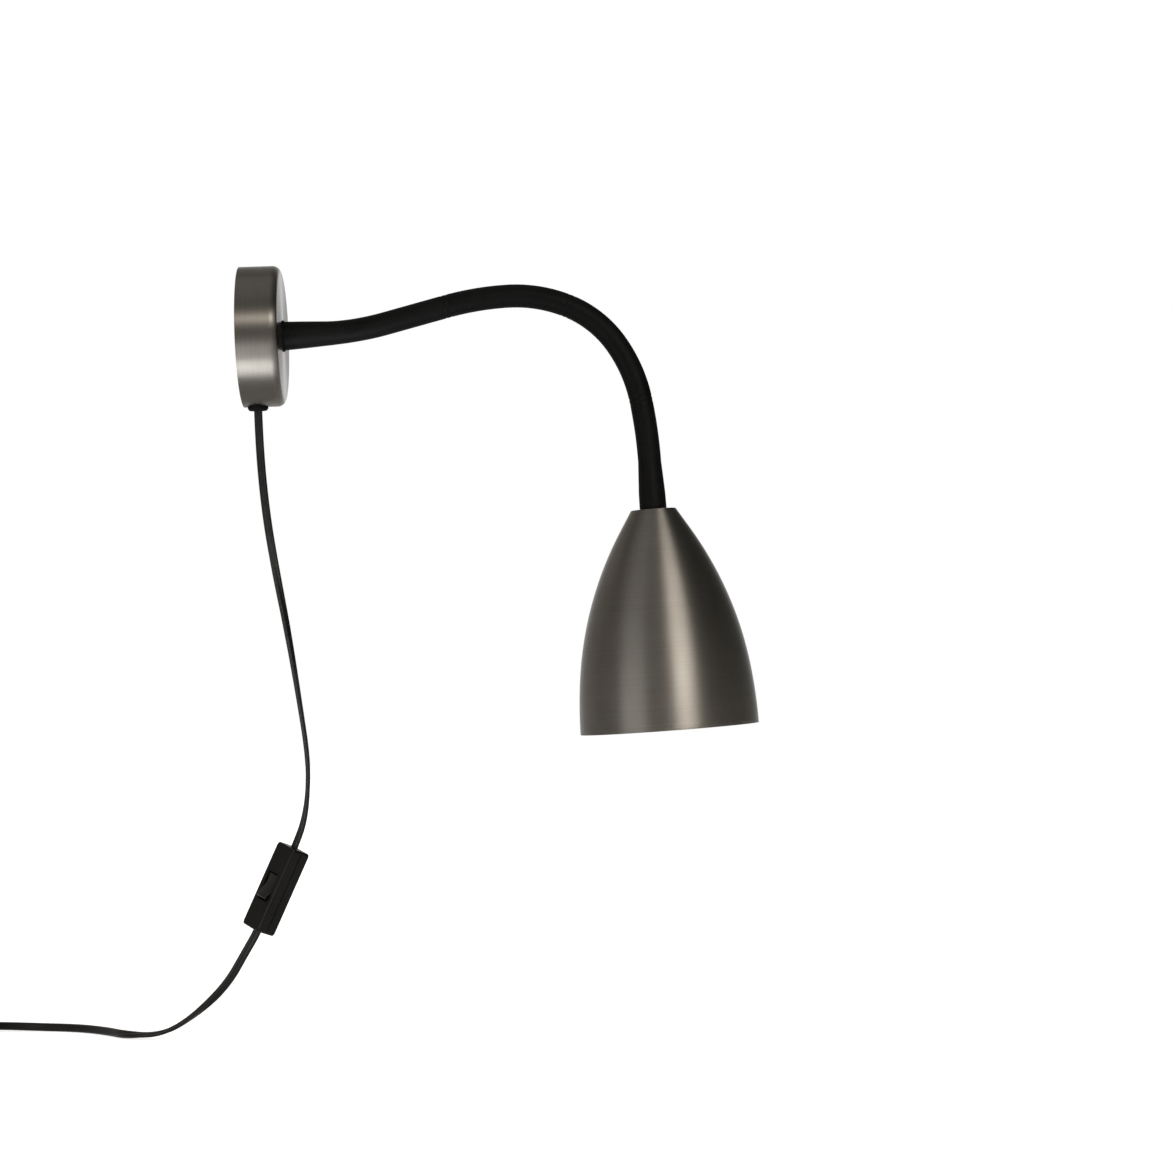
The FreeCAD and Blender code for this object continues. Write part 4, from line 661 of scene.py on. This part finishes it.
def arm_sleeve():
    """The sleeve's lengths, each from midway between two joints to midway between the next two."""
    bodies = ["wall_side"] + [f"link_{number}" for number in range(1, 8)] + ["head"]
    middles = [0.0] + [(a + b) / 2 for a, b in zip(JOINTS_AT, JOINTS_AT[1:])] + [ARM_LENGTH]
    slack = 1e-6
    for number, joint in enumerate(JOINTS_AT):
        low, high = middles[number], middles[number + 1]
        stations = [s for s in ARM if low - slack <= s[0] <= high + slack]
        if number == 0:
            foot = (FOOT_GAP_MM, *station_at(FOOT_GAP_MM)[1:])
            stations = [foot] + [s for s in stations if s[0] > FOOT_GAP_MM + 0.1]
        build = split_length if number in SPLIT_LENGTHS else blended_length
        hidden = ["foot_sleeve"] if number == 0 else [f"arm_sleeve_{number}"]
        if number == len(JOINTS_AT) - 1:
            hidden.insert(0, "neck_sleeve")
        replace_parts(build(number, joint, stations, bodies), *hidden)


arm_sleeve()

# ---------------------------------------------------------------- shade


def arc_points(start, lean, end, steps):
    """Points (radius, depth) of the arc that leaves a point at an angle from the axis and meets another."""
    chord = end - start
    turn = lean - math.atan2(chord.x, chord.y)
    radius = chord.length / 2 / math.sin(turn)
    centre = start + Vector((-math.cos(lean), math.sin(lean))) * radius
    points = []
    for step in range(1, steps + 1):
        angle = lean - 2 * turn * step / steps
        points.append((centre.x + radius * math.cos(angle), centre.y - radius * math.sin(angle)))
    return points, lean - 2 * turn


def shade_profile():
    """Outer profile (radius, depth below the top): shoulder cone, bulge and skirt."""
    top, rim, height = 15.9, 63.35, 155.8
    shoulder_share, shoulder_depth = 0.1955, 15.0
    skirt_share, skirt_depth = 0.058, 115.0
    shoulder = Vector((top + (rim - top) * shoulder_share, shoulder_depth))
    skirt = Vector((rim - (rim - top) * skirt_share, skirt_depth))
    bulge, lean = arc_points(shoulder, math.atan2(shoulder.x - top, shoulder.y), skirt, 32)
    lower, _ = arc_points(skirt, lean, Vector((rim, height)), 14)
    return [(top, 0.0, 0.9), tuple(shoulder)], bulge + lower


def shade():
    """The bell as one spun wall, with a rolled lip at its rim."""
    top, outline = shade_profile()
    bore = BORE / MM
    shoulder = rounded([(bore, 0.0), top[0], top[1]], 6)
    outer = [(r, -s) for r, s in ([(v.x, v.y) for v in shoulder] + outline)]
    wall = 0.8
    inner = []
    for index, (r, z) in enumerate(outer):
        before, after = outer[max(index - 1, 0)], outer[min(index + 1, len(outer) - 1)]
        way = Vector((after[0] - before[0], after[1] - before[1])).normalized()
        inner.append((r + way.y * wall, z - way.x * wall))
    inner = [(max(r, bore), z) for r, z in inner]
    rim_r, rim_z = outer[-1]
    lip = [(rim_r - 0.05, rim_z), (rim_r - 0.4, rim_z), (rim_r - 0.75, rim_z)]
    outer[-1] = (rim_r, rim_z + 0.15)
    inner[-1] = (rim_r - wall, rim_z + 0.15)
    profile = [(r * MM, z * MM) for r, z in outer + lip + inner[::-1]]
    bell = lathe("shade_bell", profile, HEAD, "head", material["shade"], 224, closed=True)
    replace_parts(bell, "shade")


shade()


def bulb():
    """Opal globe bulb, and its cap with a rolled thread."""
    cap_top, cap_low = -31.4, -50.4
    centre, radius = -84.9, 22.5
    neck = [(9.0, cap_low + 1.5), (10.4, cap_low), (10.5, cap_low - 3.0), (10.5, cap_low - 6.0),
            (12.6, cap_low - 10.5), (15.6, cap_low - 16.0), (18.0, centre + 13.5)]
    globe = [(radius * math.cos(a), centre + radius * math.sin(a))
             for a in [math.radians(36.87 - (36.87 + 90) * step / 26) for step in range(1, 27)]]
    globe[-1] = (0.0, centre - radius)
    glass = lathe("bulb_glass", [(r * MM, z * MM) for r, z in neck + globe], HEAD, "head",
                  material["glass"], 72)
    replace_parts(glass, "bulb_globe")
    thread = [(0.0, cap_top), (2.2, cap_top), (2.4, cap_top - 0.8), (4.6, cap_top - 2.6),
              (6.1, cap_top - 3.8)]
    turns, parts, run = 5, 6, 11.5
    for step in range(turns * parts + 1):
        height = cap_top - 4.6 - run * step / (turns * parts)
        thread.append((6.55 + 0.33 * math.cos(2 * math.pi * step / parts), height))
    thread += [(6.3, cap_low + 2.4), (6.3, cap_low + 1.2), (0.0, cap_low + 1.2)]
    cap = lathe("bulb_thread", [(r * MM, z * MM) for r, z in thread], HEAD, "head", material["nickel"],
                64)
    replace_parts(cap, "bulb_cap")


bulb()

# ---------------------------------------------------------------- in-line switch

LEAN = math.radians(25.7)
ALONG = Vector((math.sin(LEAN), 0, math.cos(LEAN)))
FACE = (Vector((-math.cos(LEAN), 0, math.sin(LEAN))) - Y).normalized()
SWITCH = frame_at(Vector((0.0119, 0, -0.3915)), ALONG, FACE)      # X along the switch, Z out of its face
ROCKER_PIVOT = Matrix.Translation((0, 0, 0.00475))


def arc(reach, start, end, steps=6):
    """Points of an arc about the origin, both ends among them."""
    angles = [start + (end - start) * step / steps for step in range(steps + 1)]
    return [(reach * math.cos(angle), reach * math.sin(angle)) for angle in angles]


def rocker_profile(tilt):
    """The rocker's outline, seen along its axis: a shallow dished V over a round belly."""
    reach = 10.3
    corner, turn, foot = math.radians(27.4), math.radians(8.0), math.radians(-24.0)
    cx, cz = reach * math.cos(corner), reach * math.sin(corner)
    dip = cz - cx * math.tan(tilt)
    half = []
    for step in range(1, 9):
        share = step / 8
        half.append((cx * (1 - share), cz + (dip - cz) * math.sin(share * math.pi / 2) ** 1.1))
    top = half + [(-x, z) for x, z in half[-2::-1]]
    inside, outside = top[-1], (-reach * math.cos(corner - turn), reach * math.sin(corner - turn))
    softened = []
    for step in range(1, 6):
        share = step / 6
        softened.append(tuple((1 - share) ** 2 * a + 2 * share * (1 - share) * b + share ** 2 * c
                              for a, b, c in zip(inside, (-cx, cz), outside)))
    left = arc(reach, math.pi - corner + turn, math.pi - foot)
    right = arc(reach, foot, corner - turn)
    return top + softened + left + right + [(-x, z) for x, z in softened[::-1]]


def rocker():
    """The rocker's cap with softened edges, tilted to its rest."""
    tilt = math.radians(11.0)
    half_width = 5.0
    profile = rocker_profile(tilt)
    place = SWITCH @ ROCKER_PIVOT @ Matrix.Rotation(tilt, 4, "Y")
    work = bmesh.new()
    ends = []
    for y in (-half_width, half_width):
        ends.append([work.verts.new(Vector((x * MM, y * MM, z * MM))) for x, z in profile])
    work.faces.new(ends[0][::-1])
    work.faces.new(ends[1])
    for step in range(len(profile)):
        after = (step + 1) % len(profile)
        work.faces.new((ends[0][step], ends[0][after], ends[1][after], ends[1][step]))
    bmesh.ops.recalc_face_normals(work, faces=work.faces)
    rim = [e for e in work.edges if e.calc_face_angle(0) > math.radians(55)]
    bmesh.ops.bevel(work, geom=rim, offset=0.00045, segments=3, profile=0.5, affect="EDGES")
    bmesh.ops.transform(work, matrix=place, verts=work.verts)
    mesh = bpy.data.meshes.new("switch_rocker_cap")
    work.to_mesh(mesh)
    work.free()
    piece = finish_mesh("switch_rocker_cap", mesh, "rocker", material["rocker"], 50)
    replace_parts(piece, "rocker")
    return piece


def switch_case(node):
    """One half of the switch, with gently domed ends and a groove where the halves meet."""
    half_width, half_thick = 9.8, 8.25
    side_at, end_at = 9.6, 30.8            # points beyond these lie on the case's sides and ends
    groove, dome = 0.9, 0.93
    dome_from, dome_run = 29.3, 1.3
    source = frame["nodes"][node]
    work = bmesh.new()
    work.from_mesh(source.data)
    bmesh.ops.transform(work, matrix=SWITCH.inverted() @ source.matrix_world, verts=work.verts)
    across, through = range(-8, 9, 2), (-6.0, -3.0, -0.4, 0.4, 3.0, 6.0)
    for normal, cuts in (((0, 1, 0), across), ((0, 0, 1), through)):
        for cut in cuts:
            bmesh.ops.bisect_plane(work, geom=work.verts[:] + work.edges[:] + work.faces[:],
                                   plane_co=Vector(normal) * cut * MM, plane_no=normal, dist=1e-6)
    for vert in work.verts:
        x, y, z = vert.co / MM
        bulge = dome * (1 - 0.12 * ((y / half_width) ** 2 + (z / half_thick) ** 2))
        seam = abs(z) < 0.05
        if seam and abs(y) > side_at:
            y -= math.copysign(groove, y)
        if seam and abs(x) > end_at:
            x -= math.copysign(groove, x)
        x += math.copysign(bulge * min(1, max(0, (abs(x) - dome_from) / dome_run)), x)
        vert.co = Vector((x, y, z)) * MM
    bmesh.ops.transform(work, matrix=SWITCH, verts=work.verts)
    mesh = bpy.data.meshes.new(node + "_case")
    work.to_mesh(mesh)
    work.free()
    piece = finish_mesh(node + "_case", mesh, "wall_side", material["switch"], 35)
    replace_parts(piece, node)
    return piece


rocker_cap = rocker()
lid_case = switch_case("switch_lid")
base_case = switch_case("switch_base")

# ---------------------------------------------------------------- plug's relief


def plug_relief():
    """Ribbed relief where the cord enters the plug."""
    place = frame_at(Vector((-0.289, -0.0089, -0.4886)), X, Y)
    ribs, pitch, taper, depth = 5, 0.0040, 0.0002, 0.0008
    profile = [(0.0040, -0.0015)]
    for rib in range(ribs):
        start = 0.0005 + rib * pitch
        size = 0.0042 - rib * taper
        profile += [(size, start), (size, start + 0.0022), (size - depth, start + 0.0026),
                    (size - depth, start + 0.0038)]
    profile += [(0.0031, 0.0210), (0.0022, 0.0214)]
    return lathe("plug_sleeve", profile, place, "wall_side", material["switch"], 40)


relief = plug_relief()

# ---------------------------------------------------------------- CAD nodes that stay

KEPT = {
    "zinc": ["back_plate", "rim_brackets", "plate_screws", "foot_ferrule", "foot_washer", "foot_nut",
             "clamp_screws", "terminal_screws", "switch_screws", "head_ferrule", "shade_washer", "head_nut"]
            + [f"arm_core_{number}" for number in range(1, 8)],
    "holder": ["cord_clamp", "holder_cap", "holder_body"],
    "terminal": ["terminal_block"],
    "brass": ["terminal_sleeves", "switch_contacts", "screw_shell", "centre_contact", "holder_terminals"],
    "wire": ["arm_lead", "holder_wires"],
    "cord": ["supply_lead"],
    "switch": ["plug_body"],
    "tie": ["coil_tie"],
    "nickel": ["plug_pins"],
    "porcelain": ["holder_insert"],
}


def dress_kept_nodes():
    """Give the CAD nodes that stay their materials."""
    for name, nodes in KEPT.items():
        for node in nodes:
            thing = frame["nodes"][node]
            for slot in thing.material_slots:
                slot.material = material[name]


dress_kept_nodes()

# ---------------------------------------------------------------- floor, world and lights


def backdrop():
    """A plain floor just under the cord, white to the camera."""
    size, low = 6.0, FLOOR - 0.0003
    mesh = bpy.data.meshes.new("floor")
    mesh.from_pydata([(-size, -size, low), (size, -size, low), (size, size, low), (-size, size, low)],
                     [], [(0, 1, 2, 3)])
    floor_material, tree, shader = new_material("floor_paint", Roughness=0.9)
    place = add_node(tree, "ShaderNodeTexCoord").outputs["Object"]
    tones = [(0.3, (0.85, 0.85, 0.855)), (0.7, (0.88, 0.88, 0.88))]
    tree.links.new(ramp(tree, noise(tree, place, 3.0), tones), shader.inputs["Base Color"])
    path = add_node(tree, "ShaderNodeLightPath")
    seen = maths(tree, "MAXIMUM", path.outputs["Is Camera Ray"], path.outputs["Is Transmission Ray"])
    seen = maths(tree, "MAXIMUM", seen, maths(tree, "MULTIPLY", path.outputs["Is Glossy Ray"], 0.25))
    shader.inputs["Emission Color"].default_value = (1, 1, 1, 1)
    # far from the lamp the floor is as white as the backdrop; near it, the shadow stays
    distance = add_node(tree, "ShaderNodeVectorMath", operation="LENGTH")
    tree.links.new(place, distance.inputs[0])
    glow = add_node(tree, "ShaderNodeMapRange", in_From_Min=0.5, in_From_Max=1.5,
                    in_To_Min=0.6, in_To_Max=1.0)
    tree.links.new(distance.outputs["Value"], glow.inputs["Value"])
    strength = maths(tree, "MULTIPLY", seen, glow.outputs["Result"])
    tree.links.new(strength, shader.inputs["Emission Strength"])
    mesh.materials.append(floor_material)
    floor = bpy.data.objects.new("floor", mesh)
    scene.collection.objects.link(floor)


def world():
    """White to the camera, and a dim room that is darker on the right to everything else."""
    made = bpy.data.worlds.new("studio")
    made.use_nodes = True
    tree = made.node_tree
    back = tree.nodes["Background"]
    path = add_node(tree, "ShaderNodeLightPath")
    seen = maths(tree, "MAXIMUM", path.outputs["Is Camera Ray"], path.outputs["Is Transmission Ray"])
    direction = add_node(tree, "ShaderNodeTexCoord").outputs["Generated"]
    parts = add_node(tree, "ShaderNodeSeparateXYZ")
    tree.links.new(direction, parts.inputs["Vector"])
    # behind the lamp, polished edges show the white backdrop too
    behind = add_node(tree, "ShaderNodeMapRange", in_From_Min=0.80, in_From_Max=0.99, in_To_Max=0.8)
    tree.links.new(parts.outputs["Y"], behind.inputs["Value"])
    glossy = maths(tree, "MULTIPLY", behind.outputs["Result"], path.outputs["Is Glossy Ray"])
    seen = maths(tree, "MAXIMUM", seen, glossy)
    room = tree.nodes.new("ShaderNodeBackground")
    aside = maths(tree, "MULTIPLY_ADD", parts.outputs["X"], 0.5)
    aside.node.inputs[2].default_value = 0.5
    shades = ramp(tree, aside, [(0.0, (0.54, 0.50, 0.46)), (0.45, (0.44, 0.42, 0.39)),
                                (0.72, (0.13, 0.13, 0.12)), (1.0, (0.03, 0.03, 0.027))])
    tree.links.new(shades, room.inputs["Color"])
    back.inputs["Color"].default_value = (1, 1, 1, 1)
    mix = tree.nodes.new("ShaderNodeMixShader")
    tree.links.new(seen, mix.inputs["Fac"])
    tree.links.new(room.outputs["Background"], mix.inputs[1])
    tree.links.new(back.outputs["Background"], mix.inputs[2])
    tree.links.new(mix.outputs["Shader"], tree.nodes["World Output"].inputs["Surface"])
    scene.world = made


AIM = Vector((0.2, 0, -0.15))  # about the middle of the lamp


def outward(azimuth, elevation):
    """The way out to a lamp; azimuth 0 is the camera's side, positive to its right."""
    a, e = math.radians(azimuth), math.radians(elevation)
    return Vector((math.sin(a) * math.cos(e), -math.cos(a) * math.cos(e), math.sin(e)))


def area_light(name, away, location, size, energy, colour, spread=180):
    """A softbox at a location, with its back turned away."""
    data = bpy.data.lights.new(name, "AREA")
    data.shape = "RECTANGLE"
    data.size, data.size_y = size
    data.energy = energy
    data.color = colour
    data.spread = math.radians(spread)
    lamp = bpy.data.objects.new(name, data)
    lamp.location = location
    lamp.visible_camera = False
    lamp.rotation_euler = away.to_track_quat("Z", "Y").to_euler()
    scene.collection.objects.link(lamp)


def lights():
    """A warm key from the right, a white top, and small fills for the undersides."""
    key = outward(25.7, 27.5)
    area_light("key", key, AIM + key * 2.6, (1.3, 0.34), 43, (1.0, 0.95, 0.89))
    low = outward(20, 8)
    area_light("key_low", low, Vector((0.33, 0, -0.33)) + low, (0.42, 0.30), 0.29, (1.0, 0.96, 0.90), 36)
    area_light("low_left", outward(-38, -28), Vector((-0.42, -0.68, -0.42)), (0.6, 0.4), 4.2,
               (0.97, 0.985, 1.0))
    front = outward(-2, -54)
    area_light("low_front", front, Vector((0.015, 0, -0.01)) + front * 0.48, (0.19, 0.25), 0.28,
               (0.93, 0.97, 1.0), 50)
    top = outward(0, 84)
    area_light("top", top, AIM + top * 2.6, (2.4, 2.4), 7, (1.0, 1.0, 1.0))


backdrop()
world()
lights()
